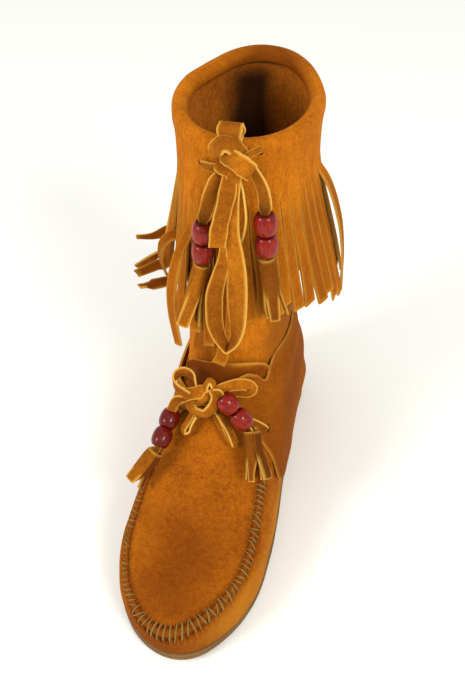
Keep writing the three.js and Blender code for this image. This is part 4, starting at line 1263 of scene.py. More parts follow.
@dataclass
class Shaft:
    """Leg tube: suede outside, flesh side inside darkened by painted shade, with slouched folds at the
    ankle.
    """

    outer: float = -2.5
    inner: float = -4.1
    low: float = 72.0
    high: float = 240.0
    low_fade: float = 22.0
    high_fade: float = 30.0
    outer_folds: Pair = (-1.2, 1.3)
    inner_folds: Pair = (-1.2, 1.0)
    ripple: float = 0.3
    ripple_levels: Pair = (160.0, 230.0)
    rows: int = 120
    columns: int = 220
    # Turns of a band of painted shade inside the back of the leg, and its strongest share.
    dark_from: Pair = (-66.0, -32.0)
    dark_to: Pair = (12.0, -14.0)
    darkest: float = 0.94

    def build(self, finishes: Finishes) -> None:
        """Build and dress the leg."""
        shape = Shape()
        level = np.linspace(self.low, self.high, self.rows)[:, None]
        turn = np.linspace(0, 360, self.columns, endpoint=False)[None]
        fade = smooth(self.low, self.low + self.low_fade, level)
        fade = fade * smooth(self.high, self.high - self.high_fade, level)
        move = creased(FORM.skin(level, turn), SHAFT_CREASES) * fade
        ripple = self.ripple * np.sin(np.radians(turn * 7) + level / 19)
        ripple = ripple * smooth(*self.ripple_levels, level)
        # Painted shadow of the fringe on the front and outer side of the leg.
        hollow = 0.7 * bell(198, 15, turn) * smooth(140, 118, level)
        under = 0.55 * smooth(30, 60, turn) * smooth(146, 122, turn)
        outside = FORM.layer(level, turn, self.outer + np.clip(move, *self.outer_folds))
        inside = FORM.layer(level, turn, self.inner + np.clip(move, *self.inner_folds) + ripple)
        # Painted shade inside the leg: deeper down, and in a band at the back.
        behind = smooth(*self.dark_from, signed(turn)) * smooth(*self.dark_to, signed(turn))
        depth = 0.9 * smooth(222, 136, level) + self.darkest * behind * smooth(246, 230, level)
        outer = shape.add(outside, shade=hollow + under)
        inner = shape.add(inside, shade=np.clip(depth, 0, self.darkest))
        shape.wall(outer, inner, wrapped=True)
        shape.piece("shaft_leg", finishes.leg, ["shaft"])


# Fringe round the boot: how far the strips stand out at their ends and how far they drop.
FRINGE = Table(
    "turn flare drop",
    (0, 4, 88), (45, 9, 90), (90, 19, 88), (122, 15, 76), (150, 12, 68), (168, 12, 74), (177, 13, 84),
    (190, 14, 104), (201, 13, 92), (225, 14, 96), (270, 17, 102), (315, 9, 94), (360, 4, 88),
)


@dataclass(frozen=True)
class Curl:
    """Strip that curls away from the leg: its route as distance out, round the leg, and down."""

    route: Route
    twist: float
    point: float = 0.0
    # Painted shade towards the strip's end.
    dark: float = 0.0


# Strips that curl their own way, by number from the heel.
CURLED = {
    32: Curl(((0, 0, 0), (13.3, 0, 61.9), (20.6, 0, 68.6), (30.7, 0, 74.3), (41.9, 0, 76.9)), 88, 0.75,
             0.8),
    31: Curl(((0, 0, 0), (16, 0, 72.1), (21.8, 0, 78.7), (30.2, 0, 84.9), (39.4, 0, 92.3)), -78, 0.6, 0.6),
    30: Curl(((0, 0, 0), (14.6, 0, 73.6), (20.2, 0, 79.1), (28.2, 0, 83.6), (36.6, 0, 87.8)), 80, 0.5, 0.7),
    29: Curl(((0, 0, 0), (1.3, 0, 45.9), (9.2, 0, 49.8), (16.5, 0, 57.1), (17.9, 0, 69.7),
              (14.6, 0, 84.8)), 20, 0.3),
    28: Curl(((0, 0, 0), (9.1, 0, 73.3), (14.4, 0, 78), (25, 0, 79.3), (33.6, 0, 79.3)), 25, 0.3, 0.75),
    25: Curl(((0, 0, 0), (3.5, 0, 23.8), (8.9, 0, 31), (15.5, 0, 42.1), (20.9, 0, 58.8), (22.8, 0, 80.4),
              (21.5, 0, 106.3)), 10, 0.3),
    22: Curl(((0, 0, 0), (6, -1.5, 45), (11.5, -3, 82), (16, -2, 102), (18, 0.5, 109)), 14),
    10: Curl(((0, 0, 0), (0.5, 0, 3.9), (6.8, 0, 14.7), (12, 0, 29.2), (16.3, 0, 48.4), (18.6, 0, 72),
              (18.9, 0, 94.1)), 8),
}


@dataclass
class Cuff:
    """Soft rolled collar that runs on into a turned-down cuff, cut into a fringe."""

    strips: int = 44
    across: int = 6
    strip_rows: int = 26
    header_rows: int = 54
    header_share: float = 0.985
    width_share: float = 0.96
    spread_out: float = 46.0
    cut_level: float = 214.0
    thick: float = 1.45
    ragged: float = 4.0
    sway: float = 2.0
    wriggle: float = 0.9
    bow: float = 2.2
    cup: float = 0.5
    slant: float = 1.1
    twist: float = 9.0
    curve: float = 1.15
    wave: float = 0.5
    bulge: float = 0.45
    bulge_levels: Pair = (226.0, 214.0)
    outside_steps: Pair = (6.0, 10.0)
    # Strongest painted shade on the roll, and painted shade on the strips' inner faces.
    darkest: float = 0.9
    inner_shade: float = 0.2
    holes: Route = ((233.0, 157.0), (233.0, 197.0), (243.5, 155.0))
    hole_out: float = -0.2
    hole_radius: float = 1.7
    over: Table = field(default_factory=lambda: Table(
        "step level out",
        (0, 241.2, -4.4), (1, 240.9, -5.4), (2, 241.4, -6.5), (3, 243.2, -7.2), (4, 245.9, -6.9),
        (5, 248.4, -5.6), (6, 249.9, -3.6), (7, 249.8, -1.4), (8, 248.4, 0.3), (9, 246, 1.2),
        (10, 242.6, 1.2), (11, 239, 0.6), (12, 235, 0.1), (13, 230, -0.2), (14, 224, -0.3),
        (15, 219, -0.4), (16, 214, -0.5),
    ))
    under: Table = field(default_factory=lambda: Table(
        "step level out",
        (0, 241.8, -4.3), (1, 242, -4.3), (2, 242.2, -4.3), (3, 242.4, -4.2), (4, 242.7, -3.9),
        (5, 242.9, -3.5), (6, 243, -3.1), (7, 242.8, -2.8), (8, 242, -2.4), (9, 240.6, -2.1),
        (10, 239, -2), (11, 237, -2), (12, 234, -2), (13, 229.5, -2), (14, 224, -2), (15, 219, -2),
        (16, 214, -2),
    ))

    def turns(self) -> np.ndarray:
        """Turns of the columns round the uncut cuff, a few for each strip."""
        strip = np.arange(self.strips)[:, None] + 0.5
        place = np.linspace(-0.5, 0.5, self.across)[None] * self.header_share
        return (360 * (strip + place) / self.strips).reshape(-1)

    def middle_turn(self, number: int) -> float:
        """Turn of a strip's middle."""
        return 360 * (number + 0.5) / self.strips

    def curl(self, number: int) -> Curl:
        """How a strip curls, with a small twist where it just hangs."""
        return CURLED.get(number, Curl((), self.twist * uneven(number, 4)))

    def slot(self, turn: np.ndarray) -> np.ndarray:
        """Place across a strip's pitch, from -0.5 to 0.5."""
        return (turn / 360 * self.strips) % 1 - 0.5

    def steps(self) -> np.ndarray:
        """Steps of the header's rows from the hem inside, over the roll, to the cut."""
        return np.linspace(0, self.over.values[-1, 0], self.header_rows)[:, None]

    def header(self, table: Table, turn: np.ndarray) -> np.ndarray:
        """Points of one face of the uncut cuff.

        Args:
            table: profile from the hem inside, over the roll, to the cut.
            turn: turns of the columns.

        Returns:
            Points in rows and columns.
        """
        step = self.steps()
        level = table.curve("level")(step)
        soft = 0.5 * np.sin(np.radians(turn * 3) + 1) + 0.35 * np.sin(np.radians(turn * 8) + level / 9)
        bulge = (np.cos(2 * math.pi * self.slot(turn)) - 0.4) * smooth(*self.bulge_levels, level)
        move = (self.wave * soft + self.bulge * bulge) * smooth(*self.outside_steps, step)
        return FORM.layer(level, turn, table.curve("out")(step) + move)

    def hang(self, number: int, root: np.ndarray, out: np.ndarray, side: np.ndarray,
             half: float) -> tuple[np.ndarray, np.ndarray]:
        """Shape one strip from the cut down to its end.

        Args:
            number: the strip's number round the boot.
            root: middle of the strip at the cut.
            out: level direction away from the leg.
            side: level direction round the leg.
            half: half the strip's width.

        Returns:
            Points of the outer and the inner face, in rows and columns.
        """
        turn = self.middle_turn(number)
        share = np.linspace(0, 1, self.strip_rows)
        curl = self.curl(number)
        if curl.route:
            line = spline(np.array(curl.route, float), self.strip_rows)
        else:
            flare = FRINGE.curve("flare")(turn) + self.sway * uneven(number, 1)
            drop = FRINGE.curve("drop")(turn) + self.ragged * uneven(number, 2)
            bow = self.bow * uneven(number, 5) * np.sin(math.pi * share)
            sway = self.sway * uneven(number, 3) * share ** 2
            wriggle = np.sin(2.4 * math.pi * share) * share
            sway = sway + self.wriggle * uneven(number, 6) * wriggle
            line = np.column_stack([flare * share ** self.curve + bow * share, sway, drop * share])
        path = root + line @ np.array([out, side, np.negative(UP)])
        ahead = unit(np.gradient(path, axis=0))
        across = unit(side - (ahead @ side)[:, None] * ahead)
        face = np.cross(ahead, across)
        face *= np.sign(face @ out)[:, None]
        twist = (math.radians(curl.twist) * share ** 1.6)[:, None]
        wide = np.cos(twist) * across + np.sin(twist) * face
        up = np.cos(twist) * face - np.sin(twist) * across
        column = np.linspace(-1, 1, self.across)
        spread = 1 + np.clip(line[:, 0] / self.spread_out, 0, 0.5) + 0.04 * np.sin(9 * share + number)
        width = half * spread * (1 - curl.point * smooth(0.55, 1, share))
        cup = self.cup * uneven(number, 7) * share
        slant = self.slant * uneven(number, 8) * smooth(0.9, 1, share)
        flat = (path[:, None] + (width[:, None] * column)[..., None] * wide[:, None]
                + (cup[:, None] * (1 - column ** 2))[..., None] * up[:, None]
                + (slant[:, None] * column)[..., None] * ahead[:, None])
        lift = self.thick / 2 * up[:, None]
        return flat + lift, flat - lift

    def strip(self, shape: Shape, number: int, numbers: Sequence[np.ndarray],
              faces: Sequence[np.ndarray]) -> None:
        """Build one strip on from the bottom row of the cuff.

        Args:
            shape: mesh of the cuff.
            number: the strip's number.
            numbers: point numbers of the cuff's outer and inner face.
            faces: points of both faces.
        """
        columns = slice(number * self.across, (number + 1) * self.across)
        roots = [face[-1, columns] for face in faces]
        middle = (roots[0] + roots[1]) / 2
        out = unit(FORM.normal(self.cut_level, self.middle_turn(number)) * np.array([1, 1, 0]))
        side = np.cross(UP, out)
        if (middle[-1] - middle[0]) @ side < 0:
            side = -side
        half = np.linalg.norm(middle[-1] - middle[0]) / 2 * self.width_share
        hung = self.hang(number, middle.mean(axis=0), out, side, half)
        share = np.linspace(0, 1, self.strip_rows)[:, None]
        column = np.abs(np.linspace(-1, 1, self.across))[None]
        blend = smooth(0, 0.16, share)[..., None]
        path = (hung[0] + hung[1]).mean(axis=1)[:, None] / 2
        edge = np.maximum(0.34 * smooth(0.75, 1, column), 0.4 * smooth(0.985, 1, share))
        edge = edge * smooth(0, 0.1, share)
        # Painted shade in the fringe, with random tone between strips, and deeper on curled strips.
        shade = (0.42 + 0.2 * uneven(number, 9)) * smooth(0, 0.3, share)
        shade = shade + self.curl(number).dark * smooth(0.5, 0.9, share)
        sides = []
        for start, root, face, dim in zip(numbers, roots, hung, (shade[1:], self.inner_shade)):
            points = blend * face + (1 - blend) * (root + path - path[0])
            sides.append(np.vstack([start[-1:, columns], shape.add(points[1:], edge=edge[1:], shade=dim)]))
        outer, inner = sides
        shape.grid(outer)
        shape.grid(inner, kind=Kind.BACK)
        for j in (0, -1):
            shape.bridge(outer[:, j], inner[:, j])
        shape.bridge(outer[-1], inner[-1])

    def build(self, finishes: Finishes) -> None:
        """Build and dress the collar, the cuff and its fringe in one mesh."""
        shape = Shape()
        turn = self.turns()
        faces = [self.header(table, turn) for table in (self.over, self.under)]
        removed = np.zeros((self.header_rows - 1, turn.size), bool)
        for level, at in self.holes:
            middle = FORM.layer(level, at, self.hole_out)
            removed |= punch(faces, middle, self.hole_radius, wrapped=True)
        step = self.steps()
        edge = 0.35 * smooth(0.86, 1, 2 * np.abs(self.slot(turn))) * smooth(15.2, 16, step)
        # Painted shade on the roll: its inner half, and more at the back.
        far = bell(0, 48, signed(turn)) * (0.75 * smooth(8, 5, step) + 0.3 * smooth(11, 8, step))
        dim = np.clip(0.8 * smooth(4.8, 1.5, step) + far, 0, self.darkest)
        outer = shape.add(faces[0], edge=edge, shade=dim)
        inner = shape.add(faces[1])
        shape.wall(outer, inner, True, removed, open_end=True)
        for last in range(self.across - 1, turn.size, self.across):
            cut = [last, (last + 1) % turn.size]
            shape.bridge(outer[-1, cut], inner[-1, cut])
        for number in range(self.strips):
            self.strip(shape, number, (outer, inner), faces)
        shape.piece("collar_and_fringe", finishes.leg, ["collar", "fringe"])


@dataclass
class Thong:
    """Flat suede lace along a given route: place, turn of its flat side and width in each row."""

    name: str
    route: Route
    far_end: FarEnd = FarEnd.KNOT
    width: float = 7.0
    tilt: float = 0.0
    drawn_start: float = 0.6
    drawn_end: float = 0.6
    narrow: float = 0.1
    thick: float = 1.5
    cup: float = 0.35
    dome: float = 0.0
    # Painted shade on the lace's face, with a gentle wave along it, and on its back.
    dark: float = 0.25
    back_shade: float = 0.45
    columns: int = 9
    rough_rows: int = 60
    least_rows: int = 24
    row_pitch: float = 1.3
    least_across: float = 0.35
    facing: Place = TO_FRONT

    def rings(self) -> tuple[np.ndarray, np.ndarray, np.ndarray, np.ndarray]:
        """Work out the lace's middle line and directions.

        Returns:
            Places, directions across, directions out of the flat side, and widths.
        """
        usual = (0.0, 0.0, 0.0, self.tilt, self.width)
        rows = np.array([[*row, *usual[len(row):]] for row in self.route], float)
        long = run_along(spline(rows, self.rough_rows)[:, :3])[-1]
        line = spline(rows, max(self.least_rows, int(long / self.row_pitch)))
        place = line[:, :3]
        ahead = unit(np.gradient(place, axis=0))
        across = np.cross(ahead, np.array(self.facing, float))
        weak = np.linalg.norm(across, axis=1)
        for i in range(1, len(across)):
            if weak[i] < self.least_across or across[i] @ across[i - 1] < 0:
                carried = across[i - 1] - (across[i - 1] @ ahead[i]) * ahead[i]
                across[i] = unit(carried) * max(weak[i], self.least_across)
        across = unit(across)
        out = unit(np.cross(across, ahead))
        angle = np.radians(line[:, 3])[:, None]
        turned = np.cos(angle) * across + np.sin(angle) * out
        share = np.linspace(0, 1, len(line))
        start = self.drawn_start + (1 - self.drawn_start) * smooth(0, self.narrow, share)
        end = self.drawn_end + (1 - self.drawn_end) * smooth(0, self.narrow, 1 - share)
        return place, turned, unit(np.cross(turned, ahead)), line[:, 4] * np.minimum(start, end)

    def mesh(self, shape: Shape, phase: float = 0.0) -> np.ndarray:
        """Add the lace to a mesh.

        Args:
            shape: mesh that takes it.
            phase: shifts the small unevenness of its edges.

        Returns:
            The lace's middle line.
        """
        place, across, out, width = self.rings()
        share = np.linspace(0, 1, len(place))
        column = np.linspace(-1, 1, self.columns)
        half = width / 2 * (1 + 0.05 * np.sin(11 * share + phase) + 0.03 * np.sin(29 * share + 2 * phase))
        bend = self.cup * np.sin(3 * math.pi * share + phase) - self.dome
        bend = bend * np.clip(width / self.width, 0, 1)
        flat = (place[:, None] + (half[:, None] * column)[..., None] * across[:, None]
                + (bend[:, None] * (column ** 2 - 0.4))[..., None] * out[:, None])
        round_ = np.sqrt(np.clip(1 - 0.5 * column ** 6, 0, 1))
        lift = (self.thick / 2 * round_)[None, :, None] * out[:, None]
        edge = 0.8 * smooth(0.8, 1, np.abs(column))
        shade = np.clip(self.dark + 0.2 * np.sin(7 * share + phase), 0, 1)[:, None]
        top = shape.add(flat + lift, edge=edge, shade=shade)
        bottom = shape.add(flat - lift, edge=edge, shade=self.back_shade)
        shape.wall(top, bottom)
        return place

    def build(self, finishes: Finishes, with_pieces: Sequence[bpy.types.Object] = ()) -> None:
        """Build the lace's mesh, which stands for its solid.

        Args:
            finishes: the boot's materials.
            with_pieces: beads and tassel on it; not used.
        """
        shape = Shape()
        line = self.mesh(shape, float(len(self.name)))
        made = shape.piece(f"{self.name}_thong", finishes.thong, [self.name])
        float(run_along(line)[-1]) * MM
        list(with_pieces)


@dataclass
class Bead:
    """Turned barrel bead with a bore."""

    name: str
    middle: np.ndarray
    along: np.ndarray
    radius: float = 6.3
    end: float = 4.3
    bore: float = 2.2
    length: float = 12.6
    # Painted shade over the whole bead, for a bead that lies in shadow.
    painted_shade: float = 0.0
    sides: int = 44
    barrel_rows: int = 17
    barrel_share: float = 0.94
    barrel_power: float = 2.6
    chamfer: float = 0.4
    shoulder: float = 0.7
    round_: float = 0.2

    def build(self, finishes: Finishes) -> bpy.types.Object:
        """Build and dress the bead.

        Returns:
            The bead.
        """
        shape = Shape()
        swell = np.linspace(-self.barrel_share, self.barrel_share, self.barrel_rows)
        belly = self.end + (self.radius - self.end) * (1 - np.abs(swell) ** self.barrel_power)
        rim = np.array([(self.bore, 0.9), (self.bore + self.chamfer, 1), (self.end - self.shoulder, 1),
                        (self.end - self.round_, 0.985)])
        profile = np.vstack([rim * (1, -1), np.column_stack([belly, swell]), rim[::-1]])
        angle = np.linspace(0, 2 * math.pi, self.sides, endpoint=False)[:, None]
        first = unit(np.cross(self.along, [0.3, 1.0, 0.2]))
        ring = np.cos(angle) * first + np.sin(angle) * np.cross(self.along, first)
        rise = profile[:, 1:, None] * self.length / 2 * self.along
        # Painted shade at the ends, where beads meet, and over a shaded bead.
        shade = np.maximum(0.75 * smooth(0.8, 1, np.abs(profile[:, 1:])), self.painted_shade)
        numbers = shape.add(self.middle + profile[:, :1, None] * ring + rise, shade=shade)
        shape.grid(np.vstack([numbers, numbers[:1]]), wrapped=True)
        return shape.piece(f"{self.name}_turned", [finishes.wood], [self.name])


@dataclass
class Tassel:
    """Piece of suede rolled round the lace's end and cut into strips below the roll."""

    name: str
    top: np.ndarray
    end: np.ndarray
    cuff: float = 5.8
    # Painted shade on the tassel's strips, with random tone between them.
    dim: float = 0.4
    rolled: float = 16.0
    turns: float = 1.35
    strips: int = 5
    thick: float = 1.4
    spread: float = 2.6
    rows: int = 30
    columns: int = 5
    least_radius: float = 0.5
    core: float = 0.15
    # Painted shade on the strips' inner faces.
    inner_shade: float = 0.9

    def build(self, finishes: Finishes, seed: float) -> bpy.types.Object:
        """Build and dress the tassel.

        Args:
            finishes: the boot's materials.
            seed: makes each tassel hang its own way.

        Returns:
            The tassel.
        """
        shape = Shape()
        long = np.linalg.norm(self.end - self.top)
        down = (self.end - self.top) / long
        first = unit(np.cross(down, [0.9, 0.35, 0.1]))
        second = np.cross(down, first)
        side = np.abs(np.linspace(-1, 1, self.columns))[None]
        for number in range(self.strips):
            share = (number + np.linspace(0.02, 0.98, self.columns)[None]) / self.strips
            run = np.linspace(0, 1, self.rows)[:, None] * long * (1 + 0.05 * uneven(number, seed))
            loose = smooth(self.rolled * (0.75 + 0.35 * uneven(number, seed + 1)), long, run)
            angle = 2 * math.pi * self.turns * share + 0.5 * uneven(number, seed + 2) * loose + seed
            middle = angle.mean(axis=1, keepdims=True)
            angle = middle + (angle - middle) * (1 - 0.55 * loose) * (1 + 0.25 * loose)
            layered = self.cuff - self.thick * self.turns * (1 - share)
            flare = self.spread * (0.9 + 0.8 * uneven(number, seed + 3)) * loose
            wave = 0.8 * np.sin(run / 7 + number) * loose
            neck = 0.55 * smooth(5, 0, run)
            radius = np.maximum(layered + flare + wave - neck, self.least_radius)
            ring = np.cos(angle)[..., None] * first + np.sin(angle)[..., None] * second
            faces = []
            for less in (0.0, self.thick):
                drawn = np.maximum(radius - less, self.core)[..., None]
                faces.append(self.top + drawn * ring + run[..., None] * down)
            cut = 0.75 * smooth(0.6, 1, side) * smooth(0.1, 0.5, loose)
            ends = np.maximum(0.7 * smooth(0.96, 1, run / run.max()), 0.5 * smooth(1.5, 0, run))
            outer = shape.add(faces[0], edge=np.maximum(cut, ends),
                              shade=self.dim + 0.35 * uneven(number, seed + 4))
            inner = shape.add(faces[1], shade=self.inner_shade)
            shape.wall(outer, inner)
        return shape.piece(f"{self.name}_rolled", finishes.thong, [self.name])


# Routes of loops and tails along each thong: place, turn of its flat side, and width.
COLLAR_LOOP_LONG = (
    (11.4, -74.5, 253, 0, 7.6), (10.8, -78.5, 243.7, 0, 8), (10.4, -80, 232.6, -3, 8.6),
    (10.4, -81, 221.4, -6, 9.2), (11.6, -81.5, 208.9, -12, 10.5), (12.2, -82, 195, -20, 12.5),
    (11.6, -82.4, 172.9, -28, 14.2), (11, -83, 158, -38, 13), (9.4, -83.6, 147, -55, 10),
    (6.2, -84.2, 139.6, -75, 7), (4, -84.4, 136.6, -90, 5), (2.6, -84, 141, -65, 7),
    (-0.4, -83.4, 148, -50, 9), (-2.2, -82.8, 156.5, -38, 10.5), (-2.3, -82, 165.5, -32, 10.5),
    (-1.3, -81.8, 177.9, -22, 10), (1.9, -81.4, 191.1, -14, 8.6), (5.2, -80.5, 202.9, -8, 7.4),
    (6.6, -79.5, 212.5, -4, 7), (7.4, -78.5, 224.9, 0, 7), (8.4, -77.5, 239.8, 0, 7),
    (9.4, -74.5, 250.6, 0, 7),
)
COLLAR_LOOP_SHORT = (
    (13.4, -73.4, 251, -60), (15.9, -75, 242.7, -75), (17.1, -75.5, 228.7, -80), (15.1, -75.5, 216.8, -85),
    (12, -75, 211.5, -90), (10.9, -74.5, 219.2, -85), (11.7, -74, 234.7, -75), (12.4, -73, 246.1, -60),
)
COLLAR_TAIL = (
    (10.5, -66.5, 257.5, 0, 7), (9.4, -73.5, 252.5, 0, 7.4), (9, -79, 246, 8, 8.6),
    (7.4, -82.6, 237, 16, 9), (5, -84.2, 226.5, 20, 9), (3.2, -84.8, 214.5, 20, 8.8),
)
COLLAR_END_OUTER = (
    (15, -69.5, 257.5, -20, 7), (19.5, -72, 255.5, -15, 7.4), (23, -73.6, 251.5, -18, 7.6),
    (25.4, -74, 246, -18, 7.4), (26.4, -73.4, 238.5, -10, 7),
)
COLLAR_END_INNER = (
    (3.5, -70.6, 251, 0, 7), (0.6, -73.4, 246, 15, 7.6), (-2, -74, 238.5, 15, 7.8),
    (-5, -73.4, 228.5, 8, 7.2),
)
ANKLE_LOOP_UP = (
    (-13, -95, 103), (-15.5, -90, 107), (-18.5, -86, 110.5), (-24, -84.6, 111.5), (-28.5, -87.5, 110.5),
    (-29, -92, 109), (-25.5, -95.6, 107.4), (-19.5, -97.4, 105.4), (-13.5, -98.4, 102.5),
)
ANKLE_LOOP_SIDE = (
    (-2.2, -94.6, 106.8), (2.7, -92, 110.4), (7.6, -89.5, 111.8), (13.2, -87, 111.7), (17.1, -85.6, 109.9),
    (18.9, -85.8, 107.7), (16.3, -86, 104.4), (11.2, -87.6, 105.4), (5.2, -90.6, 106.6), (0, -94.6, 104.8),
)
ANKLE_LOOP_LOW = (
    (-2.8, -96.5, 90.7), (1.1, -100, 86.3), (5, -103.5, 80.9), (10.2, -107, 76.3), (13.1, -107.8, 76.5),
    (11.2, -105.5, 81.1), (6.4, -101, 86.1), (0.3, -96.5, 90.3),
)
ANKLE_END_OUTER = ((-8, -98.4, 104.5, 0, 6), (-5, -97.4, 108.4, 0, 6), (-1.4, -96.2, 110.4, 0, 6))
ANKLE_END_INNER = (
    (-21, -96, 99, 0, 6), (-25, -97.6, 99.6, 0, 6.4), (-28, -99, 95.5, 0, 6.4), (-30, -99.8, 90, 0, 6),
)


@dataclass(frozen=True)
class Wrap:
    """One turn of thong in a knot."""

    route: Route
    width: float
    tilt: float
    facing: Place = TO_VIEWER
    dome: float = 0.9


# Thong wound round itself into the knots, and the bars of lace from hole to hole.
COLLAR_KNOT = (
    Wrap(((2, -69, 255), (5, -72, 254.6), (10, -73.6, 254.5), (16, -70, 256)), 7.5, 0),
    Wrap(((12, -71.6, 259), (16, -71, 261), (20, -68.6, 262.8), (22.4, -65, 262.6)), 3.4, 0, dome=0.2),
    Wrap(((-0.5, -66, 256), (1.6, -70, 263.4), (6, -72.5, 268.4), (10.6, -72.5, 268), (13.2, -70.5, 263.2),
          (13.4, -68, 257)), 9.2, 28, dome=1.3),
    Wrap(((4.4, -69.6, 262.6), (9.7, -75, 262.7), (14.4, -77.6, 261.7), (18.6, -79, 260),
          (22, -79.6, 258.2)), 10, -25),
    Wrap(((8, -62, 266.5), (8, -60.9, 270), (8, -62.4, 273.4), (8, -65.2, 274.2), (8, -67.9, 272.4),
          (8, -68.2, 269.2), (8, -66.2, 267), (8, -63.8, 268.2)), 12, 90, TO_SIDE, 0.0),
)
ANKLE_KNOT = (
    Wrap(((-18.3, -94.5, 100), (-11.7, -98, 101), (-6.3, -98, 106.2), (-4.3, -94, 110.1)), 6.4, -25),
    Wrap(((-19.5, -95, 96.5), (-15.3, -99, 92.9), (-7.6, -101.5, 94.5), (-2.5, -101.5, 100.7),
          (0.4, -98.5, 108.4), (-2.2, -94.5, 112.4)), 7, -28),
    Wrap(((-24.6, -93.5, 97.5), (-20, -96.6, 104), (-12.9, -97.6, 108.8), (-7.9, -95.4, 109.6)), 8, 22),
    Wrap(((-8.4, -96, 106.5), (-7.3, -94.6, 113), (-5.2, -93, 116.6), (-2.9, -93, 114),
          (-2.3, -94.6, 108.5)), 5, 60, dome=0.2),
    Wrap(((-16.1, -97.6, 88.6), (-19.4, -101, 82.5), (-22, -103.5, 77.8), (-20.9, -105, 74.6),
          (-16.9, -104.5, 77), (-15.3, -102, 81.8), (-12.5, -99, 87.5)), 5, -55, dome=0.2),
)
ANKLE_BAR = (
    (62, 133, 1.2), (65, 139, 5), (73, 155, 5), (80, 172, 2.4), (80, 192, 2.4), (73, 207, 4.9),
    (65, 221, 5.3), (62, 227, 1.2),
)
COLLAR_BAR = (
    (233, 157, -1), (233.5, 161, 1.2), (234, 170, 1.4), (234, 184, 1.4), (233.5, 193, 1.2), (233, 197, -1),
)


@dataclass(frozen=True)
class BeadedEnd:
    """Lace end through two beads, by the beads' middles and the tip of the tassel under them."""

    high: Place
    low: Place
    tip: Place
    route: Route
    spread: float
    cuff: float = 5.8
    # Painted shade on the tassel and on the beads.
    dim: float = 0.4
    painted_shade: float = 0.0


BEADED_ENDS = {
    "collar_outer": BeadedEnd((26, -71.6, 223.4), (26.5, -72.2, 210), (32, -76, 164),
                              COLLAR_END_OUTER, 2.2),
    "collar_inner": BeadedEnd((-8.4, -71.6, 212.4), (-9.4, -72.4, 199.2), (-20, -82, 152),
                              COLLAR_END_INNER, 2.2),
    "ankle_outer": BeadedEnd((7, -97.4, 104), (16, -100.2, 94.6), (29.4, -122.6, 66.4),
                             ANKLE_END_OUTER, 2.4, 6.4, 0.85),
    "ankle_inner": BeadedEnd((-32, -100.2, 81.4), (-33.7, -111.7, 76.1), (-46.8, -134, 56.6),
                             ANKLE_END_INNER, 0.9, 6.2, 0.7, 0.66),
}

LOOPS = (
    Thong("collar_loop_long", COLLAR_LOOP_LONG, width=10.0, drawn_start=1.0, drawn_end=1.0, cup=0.2),
    Thong("collar_loop_short", COLLAR_LOOP_SHORT, width=5.0),
    Thong("collar_tail", COLLAR_TAIL, FarEnd.CUT, width=8.0, drawn_start=0.9, drawn_end=1.0),
    Thong("ankle_loop_up", ANKLE_LOOP_UP, width=7.6, tilt=90.0, facing=UP),
    Thong("ankle_loop_side", ANKLE_LOOP_SIDE, width=7.4, facing=TO_VIEWER),
    Thong("ankle_loop_low", ANKLE_LOOP_LOW, width=5.0, tilt=-50.0, facing=TO_VIEWER),
)


